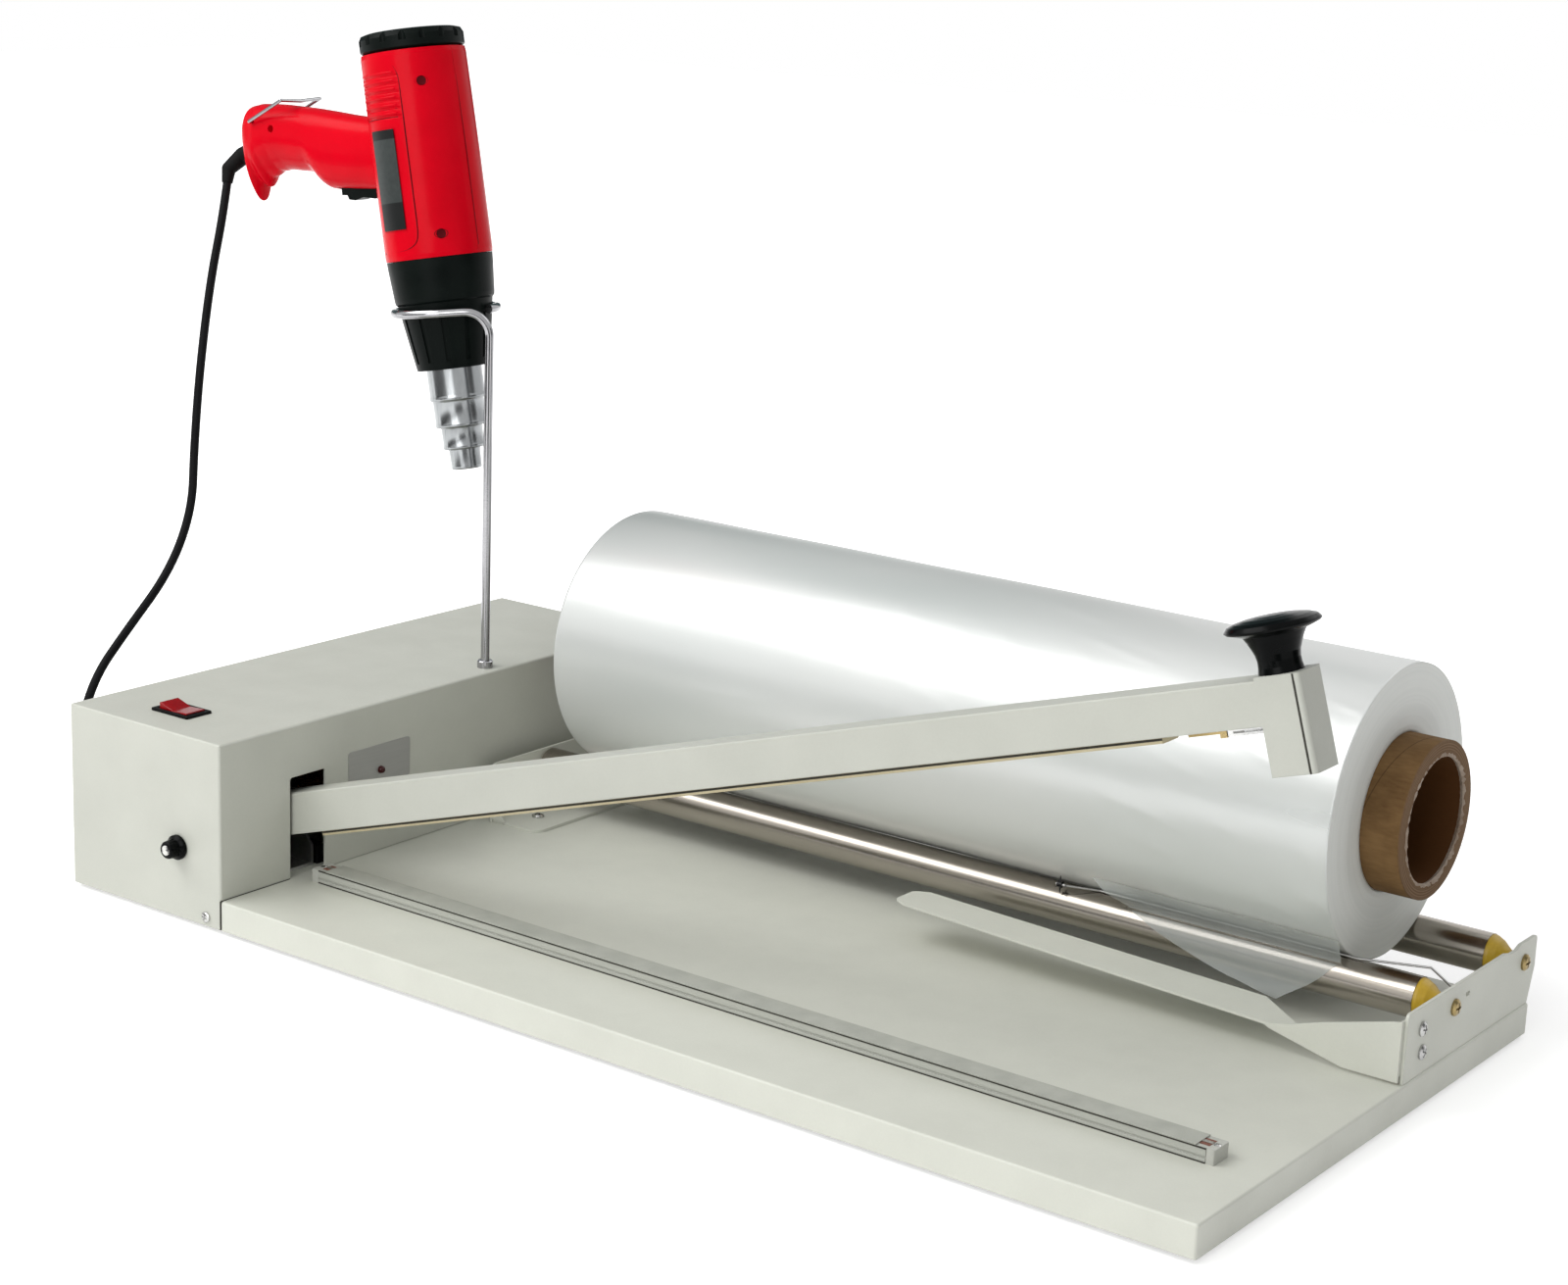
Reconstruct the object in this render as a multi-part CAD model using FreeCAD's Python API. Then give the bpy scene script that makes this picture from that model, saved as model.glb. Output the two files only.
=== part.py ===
import FreeCAD
import Part

import math
import os

from FreeCAD import Vector

# Bench i-bar sealer for shrink film: a sheet-steel base with a control housing at its left end,
# a sprung sealing arm over a heated rail, two rollers that carry the film roll, a film
# separator, and a hot-air gun that hangs in a wire ring beside the roll.
# All sizes are millimetres. While it is modelled, x runs from the housing's left face to the
# right, y from the front face to the back, and z up from the underside of the base.

# Driving dimensions.
housing_width = 138.0
housing_height = 120.0
base_end_x = 828.0
base_depth = 400.0
housing_depth = base_depth + 10.0
base_height = 19.0
seam_gap = 0.9
sheet = 1.5
sheet_gap = 0.3
edge_radius = 1.6
foot_height = 3.0
foot_radius = 9.0
foot_inset = 30.0

# Sealing arm, drawn closed (its underside level) and then turned up to where it rests.
arm_pivot_x = housing_width - 55.0
arm_pivot_z = base_height + 27.0
arm_centre_y = 74.0
arm_width = 24.0
arm_under = 14.1
arm_top_left = 12.6
arm_top_right = 8.7
arm_tail = 33.0
arm_reach = base_end_x + 11.0 - arm_pivot_x
arm_rest_angle = 17.14
arm_wall = 1.5
leg_length = 25.0
leg_top = 10.4
leg_bottom = 39.8
pivot_pin_radius = 4.0
running_clearance = 0.05
knob_offset = arm_reach + 9.5
knob_base_radius = 11.6
knob_cap_radius = 24.4
knob_height = 28.5

# Slot that the arm moves in, in the housing's inner side.
slot_front = 59.5
slot_back = 90.3
slot_top = arm_pivot_z + 40.0

# Sealing rail on the base under the arm.
rail_left = housing_width + 12.5
rail_right = base_end_x - 33.0
rail_width = 15.7
rail_height = 8.4
rail_block = 6.0
pad_thickness = 3.6
pad_left = 75.7
pad_right = arm_reach - 59.8

# Rollers, their end brackets and the film roll.
roller_radius = 12.5
roller_wall = 1.5
roller_left = housing_width + 15.6
roller_right = base_end_x - 22.0
roller_height = base_height + 28.0
roller_front_y = base_depth - 107.6
roller_spacing = 96.9
plug_length = 12.0
axle_radius = 3.0
bracket_sheet = 2.0
left_bracket_x = housing_width + 12.0
right_bracket_x = base_end_x - 1.2
bracket_front = base_depth - 169.0
bracket_back = base_depth + 6.0
bracket_top = roller_height + 13.0
bracket_foot = 40.0
foot_hole_inset = 20.7
foot_screw_radius = 2.0
film_radius = 88.85
film_left = housing_width + 50.0
film_right = base_end_x - 68.0
core_bore_radius = 38.1
core_radius = 47.3
core_left = film_left - 14.0
core_right = film_right + 24.0
roll_gap = 0.3

# Wire stand with its ring.
rod_x = housing_width - 11.1
rod_y = 252.5
rod_radius = 3.0
rod_bend = 16.0
ring_x = rod_x - 47.0
ring_y = 260.7
ring_z = housing_height + 238.0
ring_radius = 34.4
ring_tilt = 7.0
ring_end_angle = 9.0

# Hot-air gun. Its own axis runs up through the ring; "a" is the height along that axis and "h"
# the reach of the handle, square to it.
gun_z = ring_z + 3.0
gun_tilt = 10.95
gun_lift = 120.0
barrel_radius = 36.0
barrel_bottom = 32.6
barrel_top = 168.8
cap_top = 182.3
cap_radius = 34.8
collar_bottom = 2.8
collar_small_radius = 33.2
shroud_bottom = -41.6
shroud_top_radius = 31.9
shroud_low_radius = 24.6
handle_half_width = 17.0
nozzle_bore_radius = 8.5
bail_a = 140.2
bail_from_butt = 16.8
bail_reach = 33.7
bail_over_crown = 4.7
bail_dip = 1.0
bail_wire = 1.2

# Gun cord.
cord_diameter = 6.0
coil_radius = 33.0
coil_turns = 5
coil_x = -51.0
coil_y = 178.0

os.makedirs("parts", exist_ok=True)
nodes = {}


def box(x0, x1, y0, y1, z0, z1):
    return Part.makeBox(x1 - x0, y1 - y0, z1 - z0, Vector(x0, y0, z0))


def rod(start, end, radius):
    line = end - start
    return Part.makeCylinder(radius, line.Length, start, line)


def taper(start, end, radius_start, radius_end):
    line = end - start
    return Part.makeCone(radius_start, radius_end, line.Length, start, line)


def turned(points, origin=Vector(0, 0, 0), axis=Vector(0, 0, 1)):
    """A solid of revolution from (radius, height) points, turned about an axis through origin."""
    outline = [Vector(r, 0, z) for r, z in points]
    face = Part.Face(Part.makePolygon(outline + [outline[0]]))
    solid = face.revolve(Vector(0, 0, 0), Vector(0, 0, 1), 360)
    turn = FreeCAD.Rotation(Vector(0, 0, 1), axis)
    solid.Placement = FreeCAD.Placement(origin, turn)
    return solid


def plate(points, direction):
    """A flat plate: a closed outline of 3-D points, pushed along a direction."""
    return Part.Face(Part.makePolygon(points + [points[0]])).extrude(direction)


def joined(shapes):
    result = shapes[0].multiFuse(shapes[1:]) if len(shapes) > 1 else shapes[0]
    return result.removeSplitter()


def rounded(shape, radius, wanted):
    """Round the straight edges whose middle point passes a test."""
    edges = []
    for edge in shape.Edges:
        middle = edge.valueAt((edge.FirstParameter + edge.LastParameter) / 2)
        if wanted(edge, middle):
            edges.append(edge)
    return shape.makeFillet(radius, edges)


def along(edge, axis):
    """Whether a straight edge runs along x, y or z (0, 1 or 2)."""
    if not isinstance(edge.Curve, Part.Line):
        return False
    direction = edge.Curve.Direction
    return abs(abs([direction.x, direction.y, direction.z][axis]) - 1) < 1e-6


def pan_head(point, outward, radius, height, shank_radius, shank_length):
    """A screw with a domed head that stands on a surface at point, and its shank behind it."""
    outline = [
        (0, -shank_length),
        (shank_radius, -shank_length),
        (shank_radius, 0),
        (radius, 0),
        (radius, height * 0.45),
        (radius * 0.72, height * 0.88),
        (radius * 0.3, height),
        (0, height),
    ]
    head = turned(outline, point, outward)
    slot_depth = height * 0.45
    across = Part.makeBox(radius * 1.3, radius * 0.24, slot_depth)
    across.translate(Vector(-radius * 0.65, -radius * 0.12, height - slot_depth))
    other = across.copy()
    other.rotate(Vector(0, 0, 0), Vector(0, 0, 1), 90)
    recess = across.fuse(other)
    recess.Placement = FreeCAD.Placement(point, FreeCAD.Rotation(Vector(0, 0, 1), outward)).multiply(
        recess.Placement
    )
    return head.cut(recess)


# Places worked out from the sizes.
arm_front = arm_centre_y - arm_width / 2
arm_back = arm_centre_y + arm_width / 2
arm_pivot = Vector(arm_pivot_x, arm_centre_y, arm_pivot_z)
roller_back_y = roller_front_y + roller_spacing
roll_y = (roller_front_y + roller_back_y) / 2
roll_rise = math.sqrt((film_radius + roller_radius + roll_gap) ** 2 - (roller_spacing / 2) ** 2)
roll_z = roller_height + roll_rise
chassis_left = sheet + sheet_gap
rail_front = arm_centre_y - rail_width / 2
rail_back = arm_centre_y + rail_width / 2
rail_top = base_height + rail_height
right_wall_inner = right_bracket_x - bracket_sheet
gun_origin = Vector(ring_x, ring_y, gun_z)
gun_turn = FreeCAD.Rotation(Vector(0, 1, 0), -gun_tilt)


# Base.
def make_base_pan():
    """Folded pan: a top sheet with four turned-down sides; narrower where the housing covers it."""
    inner_step = housing_width + seam_gap
    wide = box(inner_step, base_end_x, 0, base_depth, 0, base_height)
    wide = rounded(
        wide,
        edge_radius,
        lambda e, m: (m.z > base_height - 0.01 and m.x > inner_step + 1)
        or (along(e, 2) and m.x > base_end_x - 0.01),
    )
    narrow = box(chassis_left, inner_step + 1, chassis_left, base_depth, 0, base_height)
    pan = wide.fuse(narrow).removeSplitter()
    under = base_height - sheet
    hollow_wide = box(inner_step + sheet, base_end_x - sheet, sheet, base_depth - sheet, -1, under)
    hollow_narrow = box(
        chassis_left + sheet, inner_step + sheet + 1, chassis_left + sheet, base_depth - sheet, -1, under
    )
    pan = pan.cut(hollow_wide.fuse(hollow_narrow))
    for point in cover_screw_points():
        hole_end = point[0] + point[1] * -8.0
        pan = pan.cut(rod(point[0] + point[1] * 2, hole_end, 1.6))
    for x in (left_bracket_x + foot_hole_inset, right_bracket_x - foot_hole_inset):
        for y in foot_screw_places():
            pan = pan.cut(rod(Vector(x, y, under - 1), Vector(x, y, base_height + 1), foot_screw_radius))
    return pan.removeSplitter()


def make_underside_plate():
    """Flat cover under the base with vent slots below the housing."""
    edge = chassis_left + sheet + sheet_gap
    cover = box(edge, base_end_x - sheet - sheet_gap, edge, base_depth - sheet - sheet_gap, 0.0, sheet)
    for row in range(2):
        for place in range(9):
            x = 26.0 + 50.0 * row
            y = 120.0 + 18.0 * place
            cover = cover.cut(box(x, x + 34.0, y, y + 4.0, -1, sheet + 1))
    return cover


def foot_points():
    for x in (foot_inset, base_end_x - foot_inset):
        for y in (foot_inset, base_depth - foot_inset):
            yield Vector(x, y, 0)


def make_feet():
    """Turned rubber feet under the cover plate, each with a recess for its screw."""
    outline = [
        (0, -0.9),
        (3.8, -0.9),
        (3.8, -foot_height),
        (foot_radius - 1.2, -foot_height),
        (foot_radius, -foot_height + 0.8),
        (foot_radius, 0),
        (0, 0),
    ]
    return Part.makeCompound([turned(outline, point) for point in foot_points()])


# Control housing.
def cover_screw_points():
    """Screws that hold the housing to the base: one in front, two in the back overhang's side."""
    return [(Vector(housing_width - 13.0, 0, 6.0), Vector(0, -1, 0))]


rocker_x = 64.75
rocker_y = 35.75
rocker_length = 33.5
rocker_width = 21.5
rocker_flange = 1.8
rocker_axis_z = housing_height - 1.0
rocker_pin_radius = 1.2
dial_x = housing_width - 37.4
dial_z = 46.5
lamp_y = 140.0
lamp_z = 74.4
lamp_radius = 2.5
plate_front = 111.0
plate_back = 167.3
plate_bottom = 65.0
plate_top = 91.5
gland_x = 30.0
gland_z = 44.0
gland_radius = 6.0
bezel_body_x = rocker_length - 3.6
bezel_body_y = rocker_width - 2.4


def make_housing_cover():
    """Folded steel box, open below, with the arm's slot and the cut-outs for the controls."""
    outer = box(0, housing_width, 0, housing_depth, 0, housing_height)
    outer = rounded(
        outer,
        edge_radius,
        lambda e, m: m.z > housing_height - 0.01 or along(e, 2),
    )
    hollow = box(
        sheet, housing_width - sheet, sheet, housing_depth - sheet, -1, housing_height - sheet
    )
    cover = outer.cut(hollow)
    cuts = []
    wall = housing_width - sheet
    cuts.append(
        box(wall - 1, housing_width + 1, sheet, base_depth + sheet_gap, -1, base_height + sheet_gap)
    )
    slot = box(wall - 1, housing_width + 1, slot_front, slot_back, base_height - 2, slot_top)
    slot = rounded(slot, 2.0, lambda e, m: along(e, 0) and m.z > slot_top - 0.1)
    cuts.append(slot)
    cuts.append(
        box(
            rocker_x - bezel_body_x / 2 - 0.15,
            rocker_x + bezel_body_x / 2 + 0.15,
            rocker_y - bezel_body_y / 2 - 0.15,
            rocker_y + bezel_body_y / 2 + 0.15,
            housing_height - 4,
            housing_height + 1,
        )
    )
    cuts.append(rod(Vector(dial_x, -1, dial_z), Vector(dial_x, sheet + 1, dial_z), 5.1))
    cuts.append(
        rod(
            Vector(rod_x, rod_y, housing_height - 4),
            Vector(rod_x, rod_y, housing_height + 1),
            rod_radius + 0.2,
        )
    )
    cuts.append(
        rod(Vector(wall - 1, lamp_y, lamp_z), Vector(housing_width + 1, lamp_y, lamp_z), lamp_radius + 0.1)
    )
    cuts.append(
        rod(
            Vector(gland_x, housing_depth - 4, gland_z),
            Vector(gland_x, housing_depth + 1, gland_z),
            gland_radius + 0.1,
        )
    )
    for point, outward in cover_screw_points():
        cuts.append(rod(point + outward * 1, point - outward * 3, 1.7))
    for row in range(7):
        z = 40.0 + 9.0 * row
        slot = box(62.0, 118.0, housing_depth - 4, housing_depth + 1, z, z + 3.0)
        cuts.append(rounded(slot, 1.4, lambda e, m: along(e, 1)))
    return cover.cut(Part.makeCompound(cuts)).removeSplitter()


def make_cable_gland():
    """Gland for the mains lead in the back of the housing: flange, nut and through bore."""
    outline = [
        (3.6, -14.0),
        (gland_radius, -14.0),
        (gland_radius, 0.0),
        (9.5, 0.0),
        (9.5, 3.0),
        (7.4, 4.0),
        (6.6, 10.0),
        (5.6, 12.0),
        (3.6, 12.0),
    ]
    body = turned(outline, Vector(gland_x, housing_depth, gland_z), Vector(0, 1, 0))
    nut = hexagon(Vector(gland_x, housing_depth - sheet, gland_z), Vector(0, -1, 0), 9.0, 4.0)
    nut = nut.cut(
        rod(
            Vector(gland_x, housing_depth, gland_z),
            Vector(gland_x, housing_depth - 14, gland_z),
            gland_radius - 0.5,
        )
    )
    return joined([body, nut])


def hexagon(point, direction, corner_radius, height):
    """A six-sided prism that stands on point."""
    corners = []
    for k in range(6):
        angle = math.radians(60 * k)
        corners.append(Vector(corner_radius * math.cos(angle), corner_radius * math.sin(angle), 0))
    prism = plate(corners, Vector(0, 0, height))
    prism.Placement = FreeCAD.Placement(point, FreeCAD.Rotation(Vector(0, 0, 1), direction))
    return prism


def make_rocker_bezel():
    """Snap-in frame of the rocker switch, with its body below the sheet."""
    half_x = rocker_length / 2
    half_y = rocker_width / 2
    top = housing_height
    flange = box(
        rocker_x - half_x, rocker_x + half_x, rocker_y - half_y, rocker_y + half_y, top, top + rocker_flange
    )
    flange = rounded(flange, 1.2, lambda e, m: along(e, 2))
    flange = rounded(flange, 0.7, lambda e, m: m.z > top + rocker_flange - 0.01)
    body = box(
        rocker_x - bezel_body_x / 2,
        rocker_x + bezel_body_x / 2,
        rocker_y - bezel_body_y / 2,
        rocker_y + bezel_body_y / 2,
        top - 24,
        top + 0.5,
    )
    window = box(
        rocker_x - bezel_body_x / 2 + 1.6,
        rocker_x + bezel_body_x / 2 - 1.6,
        rocker_y - bezel_body_y / 2 + 1.4,
        rocker_y + bezel_body_y / 2 - 1.4,
        top - 14,
        top + 5,
    )
    frame = joined([flange, body]).cut(window)
    pin_reach = bezel_body_y / 2 - 0.3
    front = Vector(rocker_x, rocker_y - pin_reach, rocker_axis_z)
    back = Vector(rocker_x, rocker_y + pin_reach, rocker_axis_z)
    frame = frame.cut(rod(front, back, rocker_pin_radius + running_clearance))
    for side in (-1, 0, 1):
        x = rocker_x + 9.0 * side
        frame = frame.fuse(box(x - 0.4, x + 0.4, rocker_y - 2.4, rocker_y + 2.4, top - 33, top - 23.5))
    return frame.removeSplitter()


def make_rocker():
    """Switch key: a block with a shallow valley across its top, on two pivot pins along y."""
    half_x = bezel_body_x / 2 - 2.4
    half_y = bezel_body_y / 2 - 1.8
    profile = [
        Vector(-half_x, 0, 5.2),
        Vector(0, 0, 3.0),
        Vector(half_x, 0, 5.2),
        Vector(half_x - 1.2, 0, -3.4),
        Vector(-half_x + 1.2, 0, -3.4),
    ]
    key = plate([p + Vector(0, -half_y, 0) for p in profile], Vector(0, 2 * half_y, 0))
    key.rotate(Vector(0, 0, 0), Vector(0, 1, 0), 7.0)
    key = rounded(key, 0.5, lambda e, m: m.z > 1.0 and along(e, 0) is False)
    key.translate(Vector(rocker_x, rocker_y, rocker_axis_z))
    pin_end = bezel_body_y / 2 - 0.5
    front = Vector(rocker_x, rocker_y - pin_end, rocker_axis_z)
    back = Vector(rocker_x, rocker_y + pin_end, rocker_axis_z)
    return joined([key, rod(front, back, rocker_pin_radius)])


def make_timer_knob():
    """Small fluted knob with a wide skirt, on a spindle through the front of the housing."""
    outline = [(0, 0.8), (8.0, 0.8), (8.0, 2.6), (6.2, 4.2), (5.6, 9.8), (4.8, 10.8), (0, 10.8)]
    front = Vector(dial_x, 0, dial_z)
    knob = turned(outline, front, Vector(0, -1, 0))
    for k in range(12):
        angle = math.radians(30 * k)
        point = Vector(dial_x + 6.4 * math.cos(angle), -4.4, dial_z + 6.4 * math.sin(angle))
        knob = knob.cut(rod(point, point + Vector(0, -12, 0), 0.95))
    knob = knob.cut(rod(front + Vector(0, -9.9, 0), front + Vector(0, -12, 0), 3.25))
    spindle = rod(front + Vector(0, 21, 0), front + Vector(0, -1.2, 0), 3.0)
    return joined([knob, spindle])


def make_timer_knob_cap():
    outline = [(0, 10.0), (3.2, 10.0), (3.2, 11.2), (2.6, 11.7), (0, 11.7)]
    return turned(outline, Vector(dial_x, 0, dial_z), Vector(0, -1, 0))


def make_potentiometer():
    """Timer's potentiometer behind the front sheet: threaded bush, nut and round can."""
    back = Vector(0, 1, 0)
    inner = Vector(dial_x, sheet, dial_z)
    can = rod(inner + back * 2.4, inner + back * 14, 8.2)
    bush = rod(inner - back * (sheet + 0.4), inner + back * 3, 5.0)
    lugs = []
    for k in (-1, 0, 1):
        x = dial_x + 5.0 * k
        lugs.append(box(x - 0.9, x + 0.9, sheet + 8, sheet + 9, dial_z - 16, dial_z - 6))
    body = joined([can, bush] + lugs)
    return body.cut(rod(inner - back * 3, inner + back * 22, 3.0 + running_clearance))


def make_lamp_plate():
    """Bare aluminium plate stuck beside the arm's slot, pierced for the lamp."""
    tag = box(housing_width, housing_width + 0.6, plate_front, plate_back, plate_bottom, plate_top)
    tag = rounded(tag, 2.0, lambda e, m: along(e, 0))
    middle = Vector(housing_width, lamp_y, lamp_z)
    return tag.cut(rod(middle - Vector(1, 0, 0), middle + Vector(2, 0, 0), lamp_radius))


def make_lamp():
    """Red indicator lamp: a domed body in its hole."""
    outline = [(0, -9.0), (lamp_radius, -9.0), (lamp_radius, 1.4)]
    for k in range(1, 6):
        angle = math.radians(18 * k)
        outline.append((lamp_radius * math.cos(angle), 1.4 + lamp_radius * math.sin(angle)))
    return turned(outline, Vector(housing_width, lamp_y, lamp_z), Vector(1, 0, 0))


core_stack_left = 22.0
core_stack_right = 98.0


def make_transformer_core():
    """Stack of E and I plates on the base inside the housing."""
    left = core_stack_left
    right = core_stack_right
    stack = box(left, right, 176, 216, base_height, base_height + 64)
    windows = box(left + 13, left + 25, 170, 222, base_height + 13, base_height + 51)
    windows = windows.fuse(box(right - 25, right - 13, 170, 222, base_height + 13, base_height + 51))
    return stack.cut(windows)


def make_transformer_coil():
    """Winding round the middle leg, through both windows of the plates."""
    left = core_stack_left
    right = core_stack_right
    coil = box(left + 13.5, right - 13.5, 162, 230, base_height + 13.5, base_height + 50.5)
    coil = rounded(coil, 5.0, lambda e, m: along(e, 2))
    leg = box(left + 24.7, right - 24.7, 175.7, 216.3, base_height, base_height + 70)
    return coil.cut(leg)


def make_timer_board():
    """Circuit board on four pillars, with its relay and capacitors."""
    board = box(18, 82, 262, 344, base_height + 10, base_height + 11.6)
    pieces = [board]
    for x in (23, 77):
        for y in (267, 339):
            pieces.append(rod(Vector(x, y, base_height), Vector(x, y, base_height + 10.2), 3.0))
    pieces.append(box(26, 45, 276, 304, base_height + 11.5, base_height + 28))
    pieces.append(rod(Vector(60, 284, base_height + 11.5), Vector(60, 284, base_height + 32), 8.0))
    pieces.append(rod(Vector(62, 312, base_height + 11.5), Vector(62, 312, base_height + 24), 5.0))
    pieces.append(box(28, 50, 316, 330, base_height + 11.5, base_height + 18))
    return joined(pieces)


# Arm and its bearing in the housing.
cheek_gap = 1.5
spring_x = arm_pivot_x - 26.0
bracket_left = arm_pivot_x - 18.0
bracket_right = arm_pivot_x + 45.0


def make_pivot_bracket():
    """U bracket that stands on the base and carries the arm's pin."""
    inner_front = arm_front - cheek_gap
    inner_back = arm_back + cheek_gap
    top = arm_pivot_z + 16.0
    floor = box(
        bracket_left, bracket_right, inner_front - bracket_sheet, inner_back + bracket_sheet,
        base_height, base_height + bracket_sheet,
    )
    profile = [
        Vector(bracket_left, 0, base_height),
        Vector(bracket_right, 0, base_height),
        Vector(bracket_right, 0, base_height + 14),
        Vector(arm_pivot_x + 15, 0, top),
        Vector(arm_pivot_x - 15, 0, top),
        Vector(bracket_left, 0, arm_pivot_z),
    ]
    cheeks = []
    for y in (inner_front - bracket_sheet, inner_back):
        cheek = plate([p + Vector(0, y, 0) for p in profile], Vector(0, bracket_sheet, 0))
        cheeks.append(rounded(cheek, 4.0, lambda e, m: along(e, 1) and m.z > arm_pivot_z + 5))
    bracket = joined([floor] + cheeks)
    pin = rod(
        Vector(arm_pivot_x, inner_front - 9, arm_pivot_z),
        Vector(arm_pivot_x, inner_back + 9, arm_pivot_z),
        pivot_pin_radius,
    )
    return bracket.cut(pin)


def make_pivot_pin():
    """Pin through both cheeks, with a head in front and a washer behind."""
    start = arm_front - cheek_gap - bracket_sheet
    end = arm_back + cheek_gap + bracket_sheet
    outline = [
        (0, start - 2.6),
        (6.5, start - 2.6),
        (7.0, start - 2.0),
        (7.0, start),
        (pivot_pin_radius, start),
        (pivot_pin_radius, end),
        (6.4, end),
        (6.4, end + 1.0),
        (pivot_pin_radius, end + 1.0),
        (pivot_pin_radius, end + 2.4),
        (0, end + 2.4),
    ]
    return turned(outline, Vector(arm_pivot_x, 0, arm_pivot_z), Vector(0, 1, 0))


def make_pivot_washers():
    """Nylon washers that centre the arm between the cheeks."""
    washers = []
    back = Vector(0, 1, 0)
    for y in (arm_front - cheek_gap, arm_back + 0.15):
        face = Vector(arm_pivot_x, y, arm_pivot_z)
        ring = rod(face, face + back * (cheek_gap - 0.15), 9.0)
        washers.append(ring.cut(rod(face - back, face + back * 3, pivot_pin_radius)))
    return Part.makeCompound(washers)


def arm_point(s, n):
    """A point in the arm's own plane, closed: s along the arm from the pivot, n above it."""
    return Vector(arm_pivot_x + s, 0, arm_pivot_z + n)


def arm_top(s):
    """Height of the arm's tapering top over the pivot line."""
    return arm_top_left + (arm_top_right - arm_top_left) * max(s, 0) / arm_reach


def raised(shape):
    """Turn a piece of the arm from closed up to where the arm rests."""
    shape.rotate(arm_pivot, Vector(0, 1, 0), -arm_rest_angle)
    return shape


def across_arm(points, front, back):
    """A plate across the arm between two y values, from points in the arm's plane."""
    return plate([p + Vector(0, front, 0) for p in points], Vector(0, back - front, 0))


def make_arm_channel():
    """Tapering square tube of folded sheet, with the deep end piece that drops past the base."""
    end = arm_reach + leg_length
    outline = [
        arm_point(-arm_tail, -arm_under),
        arm_point(arm_reach, -arm_under),
        arm_point(arm_reach, arm_top(arm_reach)),
        arm_point(0, arm_top(0)),
        arm_point(-arm_tail, arm_top(0)),
    ]
    tube = across_arm(outline, arm_front, arm_back)
    tube = rounded(tube, 1.2, lambda e, m: m.z > arm_pivot_z + 5 and not along(e, 1))
    inner = [
        arm_point(-arm_tail - 1, -arm_under + arm_wall),
        arm_point(arm_reach - arm_wall, -arm_under + arm_wall),
        arm_point(arm_reach - arm_wall, arm_top(arm_reach) - arm_wall),
        arm_point(0, arm_top(0) - arm_wall),
        arm_point(-arm_tail - 1, arm_top(0) - arm_wall),
    ]
    tube = tube.cut(across_arm(inner, arm_front + arm_wall, arm_back - arm_wall))
    leg_outline = [
        arm_point(arm_reach, -leg_bottom),
        arm_point(end, -leg_bottom),
        arm_point(end, leg_top),
        arm_point(arm_reach, leg_top),
    ]
    leg = across_arm(leg_outline, arm_front, arm_back)
    leg = rounded(
        leg, 2.2, lambda e, m: along(e, 2) and m.x > arm_pivot_x + end - 0.1
    )
    fold_depth = 0.8
    for y in (arm_front - 1, arm_back - fold_depth):
        fold = across_arm(
            [
                arm_point(end - 4.2, -leg_bottom - 1),
                arm_point(end - 3.0, -leg_bottom - 1),
                arm_point(end - 3.0, leg_top - 4),
                arm_point(end - 4.2, leg_top - 4),
            ],
            y,
            y + fold_depth + 1,
        )
        leg = leg.cut(fold)
    post_z = arm_pivot_z - 1.5
    post = rod(Vector(spring_x, arm_back - 1.4, post_z), Vector(spring_x, arm_back + 11, post_z), 1.6)
    arm = joined([tube, leg, post])
    hole = rod(
        Vector(arm_pivot_x, arm_front - 1, arm_pivot_z),
        Vector(arm_pivot_x, arm_back + 1, arm_pivot_z),
        pivot_pin_radius + running_clearance,
    )
    return raised(arm.cut(hole))


def make_arm_pad():
    """Silicone pressing strip under the arm."""
    half = 8.0
    strip = box(
        arm_pivot_x + pad_left,
        arm_pivot_x + pad_right,
        arm_centre_y - half,
        arm_centre_y + half,
        arm_pivot_z - arm_under - pad_thickness,
        arm_pivot_z - arm_under,
    )
    return raised(rounded(strip, 0.8, lambda e, m: along(e, 0) and m.z < arm_pivot_z - arm_under - 1))


def make_pad_clip():
    """Brass clip that ends the pressing strip's fabric cover."""
    low = arm_pivot_z - arm_under
    left = arm_pivot_x + pad_right + 14.0
    clip = box(left, left + 22.0, arm_centre_y - 6, arm_centre_y + 6, low - 2.2, low)
    lip = box(left + 18.0, left + 22.0, arm_centre_y - 6, arm_centre_y + 6, low - 4.4, low - 2.0)
    return raised(joined([clip, lip]))


def make_pad_tensioner():
    """Bright slotted bar that pulls the cover tight, ending at the arm's end piece."""
    low = arm_pivot_z - arm_under
    left = arm_pivot_x + pad_right + 36.3
    right = arm_pivot_x + arm_reach - 0.3
    bar = box(left, right, arm_centre_y - 5.5, arm_centre_y + 5.5, low - 4.2, low)
    groove = box(left + 3, right + 1, arm_centre_y - 7, arm_centre_y + 7, low - 2.8, low - 1.6)
    return raised(bar.cut(groove))


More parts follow.
